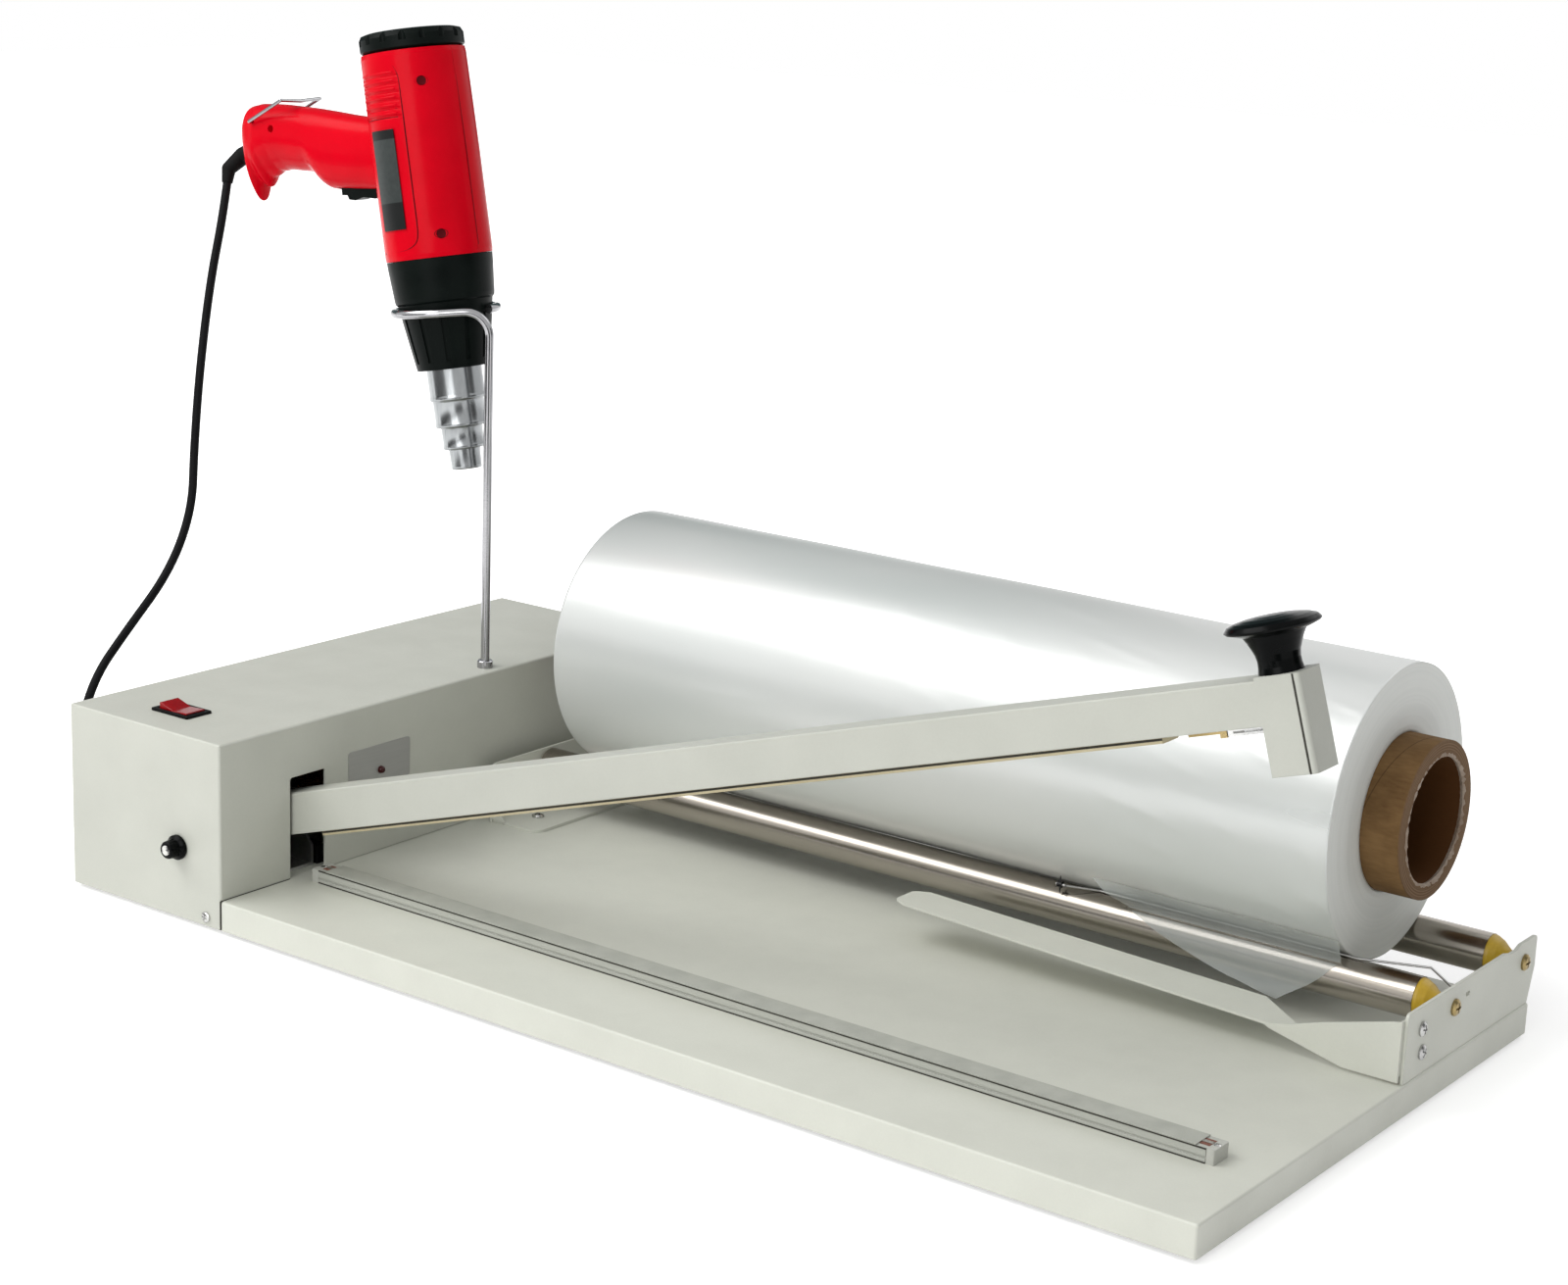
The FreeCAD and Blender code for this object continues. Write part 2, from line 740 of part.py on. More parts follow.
def make_arm_knob():
    """Mushroom knob: a concave neck that flares into a thin lens-shaped cap."""
    base = leg_top
    neck = knob_base_radius
    cap = base + knob_height - 9.0
    outline = [(0, base), (neck, base)]
    for k in range(1, 7):
        share = k / 6
        radius = neck - 0.9 * math.sin(math.pi * min(share * 1.4, 1)) + 4.4 * share ** 3
        outline.append((radius, base + (cap - base) * share))
    outline.append((knob_cap_radius - 4.5, cap + 1.2))
    outline.append((knob_cap_radius - 0.9, cap + 2.5))
    outline.append((knob_cap_radius, cap + 3.5))
    outline.append((knob_cap_radius - 0.6, cap + 4.5))
    for k in range(1, 6):
        share = k / 5
        radius = (knob_cap_radius - 0.6) * math.cos(math.radians(90 * share))
        outline.append((max(radius, 0), cap + 4.5 + 4.5 * math.sin(math.radians(90 * share))))
    axis_point = Vector(arm_pivot_x + knob_offset, arm_centre_y, arm_pivot_z)
    return raised(turned(outline, axis_point))


def make_return_spring():
    """Tension spring beside the arm's tail, hooked to the base, that keeps the arm up."""
    x = spring_x
    y = arm_back + 7.5
    low = base_height + 6.0
    high = arm_pivot_z - 13.0
    turns = 8
    pitch = (high - low) / turns
    outline = [(3.6, low), (4.2, low)]
    for k in range(turns):
        outline.append((4.8, low + pitch * (k + 0.5)))
        outline.append((4.2, low + pitch * (k + 1)))
    outline.append((3.6, high))
    coil = turned(outline, Vector(x, y, 0))
    low_hook = rod(Vector(x, y, base_height), Vector(x, y, low + 0.8), 0.6)
    low_bar = rod(Vector(x - 4.0, y, low + 0.8), Vector(x + 4.0, y, low + 0.8), 0.6)
    high_bar = rod(Vector(x - 4.0, y, high - 0.8), Vector(x + 4.0, y, high - 0.8), 0.6)
    high_hook = rod(Vector(x, y, high - 0.8), Vector(x, y, high + 1.8), 0.6)
    return joined([coil, low_hook, low_bar, high_bar, high_hook])


def make_arm_stop():
    """Rubber block on the base that the arm's tail rests on when the arm is up."""
    angle = math.radians(arm_rest_angle)
    tail = -arm_tail + 3.0
    x = arm_pivot_x + tail * math.cos(angle) + arm_under * math.sin(angle)
    z = arm_pivot_z + tail * math.sin(angle) - arm_under * math.cos(angle)
    half = 3.0
    top_left = z - half * math.tan(angle) - 0.05
    top_right = z + half * math.tan(angle) - 0.05
    outline = [
        Vector(x - half, 0, base_height),
        Vector(x + half, 0, base_height),
        Vector(x + half, 0, top_right),
        Vector(x - half, 0, top_left),
    ]
    return across_arm(outline, arm_centre_y - 9, arm_centre_y + 9)


def make_microswitch():
    """Switch beside the arm that starts the timer, on its own small foot."""
    x = arm_pivot_x + 26.0
    body = box(x, x + 20, arm_back + 6, arm_back + 13, base_height, base_height + 12)
    lever = box(x + 1, x + 19, arm_back + 7.5, arm_back + 11.5, base_height + 13.2, base_height + 13.7)
    hinge = box(x + 1, x + 2, arm_back + 7.5, arm_back + 11.5, base_height + 11.8, base_height + 13.5)
    press = Vector(x + 14, arm_back + 9.5, base_height + 11.5)
    button = rod(press, press + Vector(0, 0, 1.8), 1.2)
    return joined([body, lever, hinge, button])


# Sealing rail.
def make_seal_rail():
    """Aluminium bar with a groove for the rubber along its top and a step along both sides."""
    left = rail_left + rail_block
    bar = box(left, rail_right, rail_front, rail_back, base_height, rail_top)
    front = arm_centre_y - 4.0
    back = arm_centre_y + 4.0
    bar = bar.cut(box(left - 1, rail_right + 1, front, back, rail_top - 2.0, rail_top + 1))
    for y in (rail_front - 1, rail_back - 0.8):
        bar = bar.cut(box(left - 1, rail_right + 1, y, y + 1.8, base_height + 2.4, base_height + 3.8))
    return bar


def make_rail_rubber():
    """Backing strip in the rail's groove."""
    left = rail_left + rail_block
    return box(left, rail_right, arm_centre_y - 4.0, arm_centre_y + 4.0, rail_top - 2.0, rail_top + 0.2)


def make_seal_ribbon():
    """Flat resistance ribbon along the top of the rubber."""
    left = rail_left + rail_block
    return box(left, rail_right, arm_centre_y - 1.5, arm_centre_y + 1.5, rail_top + 0.2, rail_top + 0.5)


def make_ribbon_cover():
    """Non-stick fabric tape stretched over the ribbon and the rail's shoulders."""
    left = rail_left + rail_block + 6
    right = rail_right - 6
    tape = box(left, right, rail_front, rail_back, rail_top, rail_top + 0.8)
    front = arm_centre_y - 4.0
    back = arm_centre_y + 4.0
    return tape.cut(box(left - 1, right + 1, front, back, rail_top - 1, rail_top + 0.5))


def make_rail_blocks():
    """Moulded end blocks that hold the ribbon's ends, each with a sunk screw hole."""
    blocks = []
    for left, right in ((rail_left, rail_left + rail_block), (rail_right, rail_right + rail_block - 1.0)):
        block = box(left, right, rail_front, rail_back, base_height, rail_top)
        block = rounded(block, 0.8, lambda e, m: along(e, 2))
        middle = (left + right) / 2
        head = Vector(middle, arm_centre_y, rail_top)
        hole = rod(head - Vector(0, 0, 1.6), head + Vector(0, 0, 2), 1.8)
        blocks.append(block.cut(hole))
    return Part.makeCompound(blocks)


# Rollers and brackets.
def roller_places():
    return (roller_front_y, roller_back_y)


def make_left_bracket():
    """Angle bracket beside the housing: an upright for the axles and a wide foot on the base."""
    x = left_bracket_x
    front = bracket_front + 3.0
    upright = box(x, x + bracket_sheet, front, bracket_back - 6, base_height, bracket_top)
    upright = rounded(upright, 5.0, lambda e, m: along(e, 0) and m.z > bracket_top - 0.1)
    foot_top = base_height + bracket_sheet
    foot = box(x, x + bracket_foot + bracket_sheet, front + 1, bracket_back - 8, base_height, foot_top)
    foot = rounded(foot, 9.0, lambda e, m: along(e, 2) and m.x > x + bracket_foot)
    gusset = plate(
        [
            Vector(x + bracket_sheet, front, base_height + bracket_sheet),
            Vector(x + bracket_sheet + 11, front, base_height + bracket_sheet),
            Vector(x + bracket_sheet, front, base_height + bracket_sheet + 11),
        ],
        Vector(0, bracket_sheet, 0),
    )
    bracket = joined([upright, foot, gusset])
    for y in roller_places():
        axle = Vector(x, y, roller_height)
        bracket = bracket.cut(rod(axle - Vector(1, 0, 0), axle + Vector(4, 0, 0), axle_radius))
    spare = Vector(x, roller_front_y + 17.3, roller_height + 4)
    bracket = bracket.cut(rod(spare - Vector(1, 0, 0), spare + Vector(4, 0, 0), 2.0))
    for y in foot_screw_places():
        hole = Vector(x + foot_hole_inset, y, base_height)
        bracket = bracket.cut(rod(hole - Vector(0, 0, 1), hole + Vector(0, 0, 5), 2.3))
    return bracket


def foot_screw_places():
    return (bracket_front + 28.9, bracket_back - 30.0)


def make_right_bracket():
    """Right upright: flat outer face with a shallow dip in its top, slanting in at the back."""
    x = right_wall_inner
    outline = [
        Vector(x, bracket_front, base_height),
        Vector(x, bracket_front, bracket_top),
        Vector(x, bracket_back - 46, bracket_top),
        Vector(x, bracket_back - 38, bracket_top - 2),
        Vector(x, bracket_back - 30, bracket_top - 2),
        Vector(x, bracket_back - 24, bracket_top),
        Vector(x, bracket_back, bracket_top),
        Vector(x, bracket_back, base_height + 21),
        Vector(x, bracket_back - 7, base_height),
    ]
    upright = plate(outline, Vector(bracket_sheet, 0, 0))
    corner = (bracket_front + 5, bracket_back - 5)
    upright = rounded(
        upright,
        3.0,
        lambda e, m: along(e, 0) and m.z > bracket_top - 0.1 and not corner[0] < m.y < corner[1],
    )
    foot = box(
        x - bracket_foot, x + bracket_sheet, bracket_front + 8, bracket_back - 8, base_height,
        base_height + bracket_sheet,
    )
    foot = rounded(foot, 9.0, lambda e, m: along(e, 2) and m.x < x - bracket_foot + 1)
    bracket = joined([upright, foot])
    for y in roller_places():
        axle = Vector(x, y, roller_height)
        bracket = bracket.cut(rod(axle - Vector(1, 0, 0), axle + Vector(4, 0, 0), axle_radius))
    slot_y = roller_front_y + 17.3
    slot = box(x - 1, x + 4, slot_y - 2.8, slot_y + 2.8, roller_height + 2.0, roller_height + 4.6)
    bracket = bracket.cut(rounded(slot, 1.2, lambda e, m: along(e, 0)))
    for y, z in separator_screw_places():
        bracket = bracket.cut(rod(Vector(x - 1, y, z), Vector(x + 4, y, z), 2.0))
    for y in foot_screw_places():
        hole = Vector(right_bracket_x - foot_hole_inset, y, base_height)
        bracket = bracket.cut(rod(hole - Vector(0, 0, 1), hole + Vector(0, 0, 5), 2.3))
    return bracket


def make_sheet_screws():
    """Pan-head screws: the housing's, those of both brackets' feet, and the separator's two."""
    screws = []
    for point, outward in cover_screw_points():
        screws.append(pan_head(point, outward, 3.4, 2.0, 1.55, 7.0))
    top = base_height + bracket_sheet
    for x in (left_bracket_x + foot_hole_inset, right_bracket_x - foot_hole_inset):
        for y in foot_screw_places():
            screws.append(pan_head(Vector(x, y, top), Vector(0, 0, 1), 4.2, 2.4, foot_screw_radius, 6.5))
    for y, z in separator_screw_places():
        screws.append(pan_head(Vector(right_bracket_x, y, z), Vector(1, 0, 0), 4.4, 2.6, 2.0, 7.0))
    return Part.makeCompound(screws)


def make_axle_screws():
    """Brass shouldered screws: each is the fixed axle of one roller end."""
    screws = []
    reach = 14.0
    for y in roller_places():
        right = Vector(right_bracket_x, y, roller_height)
        screws.append(pan_head(right, Vector(1, 0, 0), 5.0, 2.8, axle_radius, reach))
        left = Vector(left_bracket_x, y, roller_height)
        screws.append(pan_head(left, Vector(-1, 0, 0), 5.0, 2.8, axle_radius, reach))
    return Part.makeCompound(screws)


def make_roller(y):
    """Polished steel tube."""
    start = Vector(roller_left, y, roller_height)
    end = Vector(roller_right, y, roller_height)
    tube = rod(start, end, roller_radius)
    return tube.cut(rod(start - Vector(1, 0, 0), end + Vector(1, 0, 0), roller_radius - roller_wall))


def make_roller_plugs(y):
    """Moulded end plugs pressed into the tube, bored to turn on the axle screws."""
    inner = roller_radius - roller_wall
    bore = axle_radius + running_clearance
    right = [
        (bore, -8.0),
        (inner, -8.0),
        (inner, 0),
        (roller_radius - 0.5, 0),
        (roller_radius - 0.8, 2.0),
        (roller_radius * 0.78, 6.0),
        (roller_radius * 0.55, 9.5),
        (5.0, plug_length),
        (bore, plug_length),
    ]
    left = [(bore, -8.0), (inner, -8.0), (inner, 0), (7.0, 0), (7.0, 1.0), (bore, 1.0)]
    plugs = [
        turned(right, Vector(roller_right, y, roller_height), Vector(1, 0, 0)),
        turned(left, Vector(roller_left, y, roller_height), Vector(-1, 0, 0)),
    ]
    return Part.makeCompound(plugs)


# Film roll.
def make_film_roll():
    """Wound film: the centrefolded web on its core."""
    start = Vector(film_left, roll_y, roll_z)
    end = Vector(film_right, roll_y, roll_z)
    roll = rod(start, end, film_radius)
    roll = rounded(roll, 0.8, lambda e, m: e.Length > 100 and not along(e, 0))
    return roll.cut(rod(start - Vector(5, 0, 0), end + Vector(5, 0, 0), core_radius))


def make_film_core():
    """Cardboard tube that sticks out of the film at both ends."""
    start = Vector(core_left, roll_y, roll_z)
    end = Vector(core_right, roll_y, roll_z)
    tube = rod(start, end, core_radius)
    return tube.cut(rod(start - Vector(5, 0, 0), end + Vector(5, 0, 0), core_bore_radius))


# Film separator and perforator.
separator_sheet = 1.5
separator_front = bracket_front - 3.0
tongue_root = base_end_x - 66.0
tongue_left = tongue_root - 276.0
tongue_slope = math.radians(2.4)
tongue_depth_root = 35.0
tongue_depth_tip = 29.0
tongue_root_z = base_height + 13.2


def separator_screw_places():
    return ((bracket_front + 19.0, base_height + 27.6), (bracket_front + 21.0, base_height + 13.3))


def tongue_height(x):
    """Height of the tongue's underside; it climbs towards its free end."""
    return tongue_root_z + (tongue_root - x) * math.tan(tongue_slope)


def make_separator():
    """Folded sheet: a tab on the right bracket, a web in front of it and the long free tongue."""
    y = separator_front
    t = separator_sheet
    inner = right_wall_inner - 0.05
    foot = base_height + 1.5
    top = base_height + 37.0
    web_outline = [
        Vector(inner, y, foot),
        Vector(tongue_root + 29, y, foot),
        Vector(tongue_root - 17, y, foot + 11),
        Vector(tongue_root - 21, y, foot + 12.9),
        Vector(tongue_root - 3, y, foot + 17),
        Vector(tongue_root + 14, y, foot + 22.5),
        Vector(tongue_root + 57, y, top - 1),
        Vector(inner, y, top),
    ]
    web = plate(web_outline, Vector(0, t, 0))
    tab = box(inner - t, inner, y, y + 36, foot + 3.5, top)
    tab = rounded(tab, 5.0, lambda e, m: along(e, 0) and m.y > y + 30)
    left_z = tongue_height(tongue_left)
    flat = [
        Vector(tongue_left, y + 4, 0),
        Vector(tongue_left + 9, y, 0),
        Vector(tongue_root, y, 0),
        Vector(tongue_root, y + 8, 0),
        Vector(tongue_root - 37, y + tongue_depth_root, 0),
        Vector(tongue_left + 9, y + tongue_depth_tip, 0),
        Vector(tongue_left, y + tongue_depth_tip - 6, 0),
    ]
    tongue = plate(flat, Vector(0, 0, t))
    tongue = rounded(tongue, 4.0, lambda e, m: along(e, 2) and m.x < tongue_left + 1)
    tongue.rotate(Vector(tongue_left, y, 0), Vector(0, 1, 0), math.degrees(tongue_slope))
    tongue.translate(Vector(0, 0, left_z))
    separator = joined([web, tab, tongue])
    for sy, sz in separator_screw_places():
        separator = separator.cut(rod(Vector(inner - 4, sy, sz), Vector(inner + 1, sy, sz), 2.0))
    return separator


perforator_x = tongue_left + 86.0
perforator_tip = 5.4
perforator_hub = 2.0
perforator_width = 3.2
perforator_wire = 0.7


def beside_roll(radius):
    """Axis of a round piece that lies in the front nip, just clear of both roll and front roller."""
    to_roller = roller_radius + radius + roll_gap
    to_roll = film_radius + radius + roll_gap + 0.2
    between = math.hypot(roll_y - roller_front_y, roll_z - roller_height)
    lean = math.atan2(roll_z - roller_height, roll_y - roller_front_y)
    share = (to_roller ** 2 + between ** 2 - to_roll ** 2) / (2 * to_roller * between)
    angle = lean + math.acos(share)
    y = roller_front_y + to_roller * math.cos(angle)
    return Vector(0, y, roller_height + to_roller * math.sin(angle))


def perforator_centre():
    """Wheel's axle: its tips just clear the front roller and the roll."""
    return beside_roll(perforator_tip) + Vector(perforator_x, 0, 0)


def make_perforator_wheel():
    """Small wheel of pins that pricks vent holes in the film."""
    centre = perforator_centre()
    half = perforator_width / 2
    bore = 1.0 + running_clearance
    hub = rod(centre - Vector(half, 0, 0), centre + Vector(half, 0, 0), perforator_hub)
    pins = []
    for k in range(8):
        angle = math.radians(45 * k)
        out = Vector(0, math.cos(angle), math.sin(angle))
        pins.append(taper(centre + out * (perforator_hub - 0.6), centre + out * perforator_tip, 0.8, 0.25))
    wheel = joined([hub] + pins)
    return wheel.cut(rod(centre - Vector(half + 2, 0, 0), centre + Vector(half + 2, 0, 0), bore))


def make_perforator_arm():
    """Spring wire from the right bracket along the nip to the wheel; its end is the wheel's axle."""
    centre = perforator_centre()
    nip = beside_roll(perforator_wire)
    half = perforator_width / 2
    stations = [
        Vector(right_wall_inner, roller_front_y + 17.3, roller_height + 3.3),
        Vector(right_wall_inner - 6.0, roller_front_y + 17.3, roller_height + 3.3),
        Vector(right_wall_inner - 20.0, roller_front_y + 14.0, nip.z + 0.5),
        Vector(film_right + 6.0, nip.y, nip.z),
        Vector(centre.x + 22.0, nip.y, nip.z),
        centre + Vector(half + 2.0, 0, 0),
        centre - Vector(half + 1.0, 0, 0),
    ]
    pieces = []
    for k in range(len(stations) - 1):
        radius = perforator_wire if k < 5 else 1.0
        pieces.append(rod(stations[k], stations[k + 1], radius))
    for k in range(1, len(stations) - 1):
        pieces.append(Part.makeSphere(perforator_wire if k < 5 else 1.0, stations[k]))
    return joined(pieces)


# Wire stand.
def ring_point(angle):
    """Point of the ring's centre line; the ring's plane leans down to the left."""
    tilt = math.radians(ring_tilt)
    u = ring_radius * math.cos(angle)
    v = ring_radius * math.sin(angle)
    return Vector(ring_x + u * math.cos(tilt), ring_y + v, ring_z + u * math.sin(tilt))


def make_stand_rod():
    """One wire: up from the housing, bent over and round into the open ring."""
    tilt = math.radians(ring_tilt)
    u = (rod_x - ring_x) / math.cos(tilt)
    v = rod_y - ring_y
    bend = Vector(rod_x, rod_y, ring_z + u * math.sin(tilt))
    reach = math.hypot(u, v)
    touch_angle = math.atan2(v, u) - math.acos(ring_radius / reach)
    touch = ring_point(touch_angle)
    over = (touch - bend).normalize()
    foot = Vector(rod_x, rod_y, housing_height - 16.0)
    up = Vector(0, 0, 1)
    turn = math.acos(up.dot(over))
    setback = rod_bend * math.tan(turn / 2)
    arc_start = bend - up * setback
    arc_end = bend + over * setback
    inward = (over - up * up.dot(over)).normalize()
    centre = arc_start + inward * rod_bend
    middle = centre + ((bend - centre).normalize()) * rod_bend
    sweep = touch_angle + 2 * math.pi - math.radians(ring_end_angle)
    ring_middle = ring_point(touch_angle - sweep / 2)
    ring_end = ring_point(touch_angle - sweep)
    edges = [
        Part.LineSegment(foot, arc_start).toShape(),
        Part.Arc(arc_start, middle, arc_end).toShape(),
        Part.LineSegment(arc_end, touch).toShape(),
        Part.Arc(touch, ring_middle, ring_end).toShape(),
    ]
    path = Part.Wire(edges)
    section = Part.Wire(Part.makeCircle(rod_radius, foot, up))
    return path.makePipeShell([section], True, True)


def make_rod_collar():
    """Turned collar on the housing's top and the nut below the sheet."""
    foot = Vector(rod_x, rod_y, housing_height)
    collar = turned(
        [(rod_radius, 0), (5.4, 0), (5.4, 4.4), (4.8, 5.0), (rod_radius, 5.0)], foot
    )
    nut = hexagon(foot - Vector(0, 0, sheet), Vector(0, 0, -1), 6.6, 6.0)
    nut = nut.cut(rod(foot, foot - Vector(0, 0, 20), rod_radius))
    return Part.makeCompound([collar, nut])


# Hot-air gun.
def hung(shape):
    """Place a piece of the gun, drawn upright at the origin, in the ring."""
    shape.Placement = FreeCAD.Placement(gun_origin, gun_turn).multiply(shape.Placement)
    return shape


def gun_point(a, h, side=0.0):
    return Vector(-h, side, a)


# Handle stations: distance from the barrel's axis, underside, top, half width and how far the
# lower side narrows. They follow the front block, the finger hollow, the heel and the round butt.
handle_stations = (
    (20.0, 79.0, 127.0, 14.0, 0.1),
    (44.0, 81.5, 130.4, 15.5, 0.1),
    (62.0, 83.6, 134.4, 16.2, 0.1),
    (78.0, 85.6, 138.4, 16.6, 0.12),
    (88.0, 87.4, 140.8, 16.8, 0.16),
    (94.0, 91.2, 142.2, 17.0, 0.22),
    (99.0, 97.6, 143.3, 17.0, 0.28),
    (105.0, 100.6, 144.6, 17.0, 0.3),
    (115.0, 102.2, 146.6, 17.0, 0.32),
    (126.0, 104.2, 148.8, 17.0, 0.36),
    (136.0, 104.4, 150.4, 17.0, 0.42),
    (144.0, 101.6, 151.4, 17.0, 0.48),
    (150.0, 97.2, 151.8, 16.6, 0.52),
    (154.5, 95.2, 151.4, 15.8, 0.52),
    (158.5, 97.6, 150.0, 14.6, 0.46),
    (161.0, 102.6, 147.4, 13.2, 0.36),
    (162.0, 107.0, 144.6, 11.8, 0.28),
)


def handle_station(h):
    """Sizes of the handle at this distance from the barrel's axis, eased between its stations."""
    last = len(handle_stations) - 2
    k = 0
    while k < last and handle_stations[k + 1][0] < h:
        k += 1
    here = handle_stations[k]
    there = handle_stations[k + 1]
    share = (h - here[0]) / (there[0] - here[0])
    return [h] + [here[i] + (there[i] - here[i]) * share for i in range(1, 5)]


bail_h = handle_stations[-1][0] - bail_from_butt


def handle_section(h, low, high, half, pinch):
    """One closed section of the handle, square to its length."""
    points = []
    steps = 20
    for k in range(steps):
        angle = 2 * math.pi * (k + 0.5) / steps
        up = math.copysign(abs(math.sin(angle)) ** 0.8, math.sin(angle))
        aside = math.copysign(abs(math.cos(angle)) ** 0.8, math.cos(angle))
        narrow = 1 - pinch * max(0.0, -up) ** 1.5
        points.append(gun_point((low + high) / 2 + up * (high - low) / 2, h, aside * half * narrow))
    curve = Part.BSplineCurve()
    curve.interpolate(points, PeriodicFlag=True)
    return Part.Wire(curve.toShape())


def side_sector(start, end, low, high):
    """A wedge about the gun's axis between two directions, in degrees, to limit a cut."""
    corners = [Vector(0, 0, low)]
    for share in (0.0, 0.5, 1.0):
        angle = math.radians(start + (end - start) * share)
        corners.append(Vector(90 * math.cos(angle), 90 * math.sin(angle), low))
    return plate(corners, Vector(0, 0, high - low))


def make_gun_body():
    """Whole red moulding before it is split: barrel, handle and the cooling grooves."""
    barrel_outline = [
        (0, barrel_bottom),
        (barrel_radius - 0.3, barrel_bottom),
        (barrel_radius, barrel_bottom + 3),
        (barrel_radius - 0.2, (barrel_bottom + barrel_top) / 2),
        (barrel_radius - 1.0, barrel_top - 3),
        (barrel_radius - 1.5, barrel_top),
        (0, barrel_top),
    ]
    barrel = turned(barrel_outline)
    near_end = handle_stations[0][0]
    reach = handle_stations[-1][0] - near_end
    count = 32
    places = [near_end + reach * k / count for k in range(count + 1)]
    sections = [handle_section(*handle_station(h)) for h in places]
    handle = Part.makeLoft(sections, True)
    body = barrel.fuse(handle)
    limits = (side_sector(-137, -67, 118, 162), side_sector(67, 137, 118, 162))
    for k in range(6):
        height = 126.2 + 5.3 * k
        ring = Part.makeTorus(barrel_radius + 0.1, 1.5, Vector(0, 0, height), Vector(0, 0, 1))
        for limit in limits:
            body = body.cut(ring.common(limit))
    trigger_slot = box(-80.5, -39.5, -6.6, 6.6, 60, 97)
    body = body.cut(trigger_slot)
    for way in (-1, 1):
        inner = gun_point(bail_a, bail_h, way * (handle_half_width - 2.5))
        outer = gun_point(bail_a, bail_h, way * (handle_half_width + 2.0))
        body = body.cut(rod(inner, outer, bail_wire + running_clearance))
    return body


def make_gun_shells():
    """Near and far half of the moulding, parted in the gun's middle plane."""
    body = make_gun_body()
    gap = 0.1
    near = body.common(box(-200, 60, -60, -gap, 0, 200))
    far = body.common(box(-200, 60, gap, 60, 0, 200))
    mouth = gun_point(133.0, 127.3, -handle_half_width - 1)
    floor = gun_point(133.0, 127.3, -handle_half_width + 5)
    near = near.cut(rod(mouth, floor, 2.6))
    for a in (147.3, 47.5):
        angle = math.radians(-41.5)
        out = Vector(math.cos(angle), math.sin(angle), 0)
        centre = Vector(0, 0, a)
        near = near.cut(rod(centre + out * (barrel_radius + 2), centre + out * (barrel_radius - 5), 3.2))
    return hung(near), hung(far)


def make_gun_cap():
    """Rear cap with a scalloped rim and radial air slots."""
    outline = [
        (0, barrel_top + 0.2),
        (cap_radius - 2.4, barrel_top + 0.2),
        (cap_radius, barrel_top + 2.0),
        (cap_radius, cap_top - 4.0),
        (cap_radius - 1.6, cap_top - 1.0),
        (cap_radius - 5.0, cap_top),
        (0, cap_top),
    ]
    cap = turned(outline)
    cuts = []
    for k in range(16):
        angle = math.radians(22.5 * k + 11.25)
        out = Vector(math.cos(angle), math.sin(angle), 0)
        foot = out * (cap_radius + 1.0)
        cuts.append(rod(foot + Vector(0, 0, barrel_top + 6), foot + Vector(0, 0, cap_top + 2), 2.6))
    for k in range(16):
        slot = box(12.0, 25.0, -1.1, 1.1, cap_top - 3.0, cap_top + 1)
        slot.rotate(Vector(0, 0, 0), Vector(0, 0, 1), 22.5 * k)
        cuts.append(slot)
    return hung(cap.cut(Part.makeCompound(cuts)))


def make_gun_collar():
    """Black collar that rests on the ring, stepped at its foot."""
    outline = [
        (0, collar_bottom),
        (collar_small_radius - 1.2, collar_bottom),
        (collar_small_radius, collar_bottom + 1.2),
        (collar_small_radius + 0.4, collar_bottom + 3.6),
        (barrel_radius - 0.8, barrel_bottom - 6.0),
        (barrel_radius - 0.5, barrel_bottom - 0.2),
        (0, barrel_bottom - 0.2),
    ]
    return hung(turned(outline))


def make_gun_shroud():
    """Tapering heat guard with long cooling ribs, open inside round the hot tube."""
    wall = 2.2
    outline = [
        (shroud_top_radius - wall - 1.0, collar_bottom),
        (shroud_top_radius, collar_bottom),
        (shroud_low_radius, shroud_bottom),
        (shroud_low_radius - wall, shroud_bottom),
    ]
    guard = turned(outline)
    slope = (shroud_top_radius - shroud_low_radius) / (collar_bottom - shroud_bottom)
    depth = 1.0
    low = shroud_bottom + 5.0
    high = collar_bottom - 9.0
    skin_low = shroud_low_radius + slope * (low - shroud_bottom)
    skin_high = shroud_low_radius + slope * (high - shroud_bottom)
    groove = plate(
        [
            Vector(skin_low - depth, -1.7, low),
            Vector(skin_high - depth, -1.7, high),
            Vector(skin_high + 4, -1.7, high),
            Vector(skin_low + 4, -1.7, low),
        ],
        Vector(0, 3.4, 0),
    )
    cuts = []
    for k in range(12):
        cut = groove.copy()
        cut.rotate(Vector(0, 0, 0), Vector(0, 0, 1), 30.0 * k + 8.0)
        cuts.append(cut)
    return hung(guard.cut(Part.makeCompound(cuts)))


def make_gun_nozzle():
    """Stepped steel hot-air tube and reducer, with a bore to its mouth."""
    outline = [
        (nozzle_bore_radius, -110.1),
        (10.3, -110.1),
        (10.8, -96.2),
        (13.9, -95.4),
        (14.1, -81.7),
        (17.2, -80.9),
        (17.4, -63.3),
        (18.6, -62.5),
        (18.8, shroud_bottom),
        (20.0, shroud_bottom + 0.6),
        (20.0, collar_bottom),
        (nozzle_bore_radius, collar_bottom),
    ]
    return hung(turned(outline))


def make_gun_trigger():
    """Two-step slide trigger in the front of the handle."""
    points = [
        (92.0, 77.5),
        (82.0, 77.5),
        (81.4, 72.6),
        (78.4, 71.4),
        (77.3, 66.0),
        (78.6, 57.5),
        (76.6, 47.0),
        (76.6, 42.5),
        (92.0, 42.5),
    ]
    outline = [gun_point(a, h, -6.0) for a, h in points]
    trigger = plate(outline, Vector(0, 12.0, 0))
    return hung(trigger)


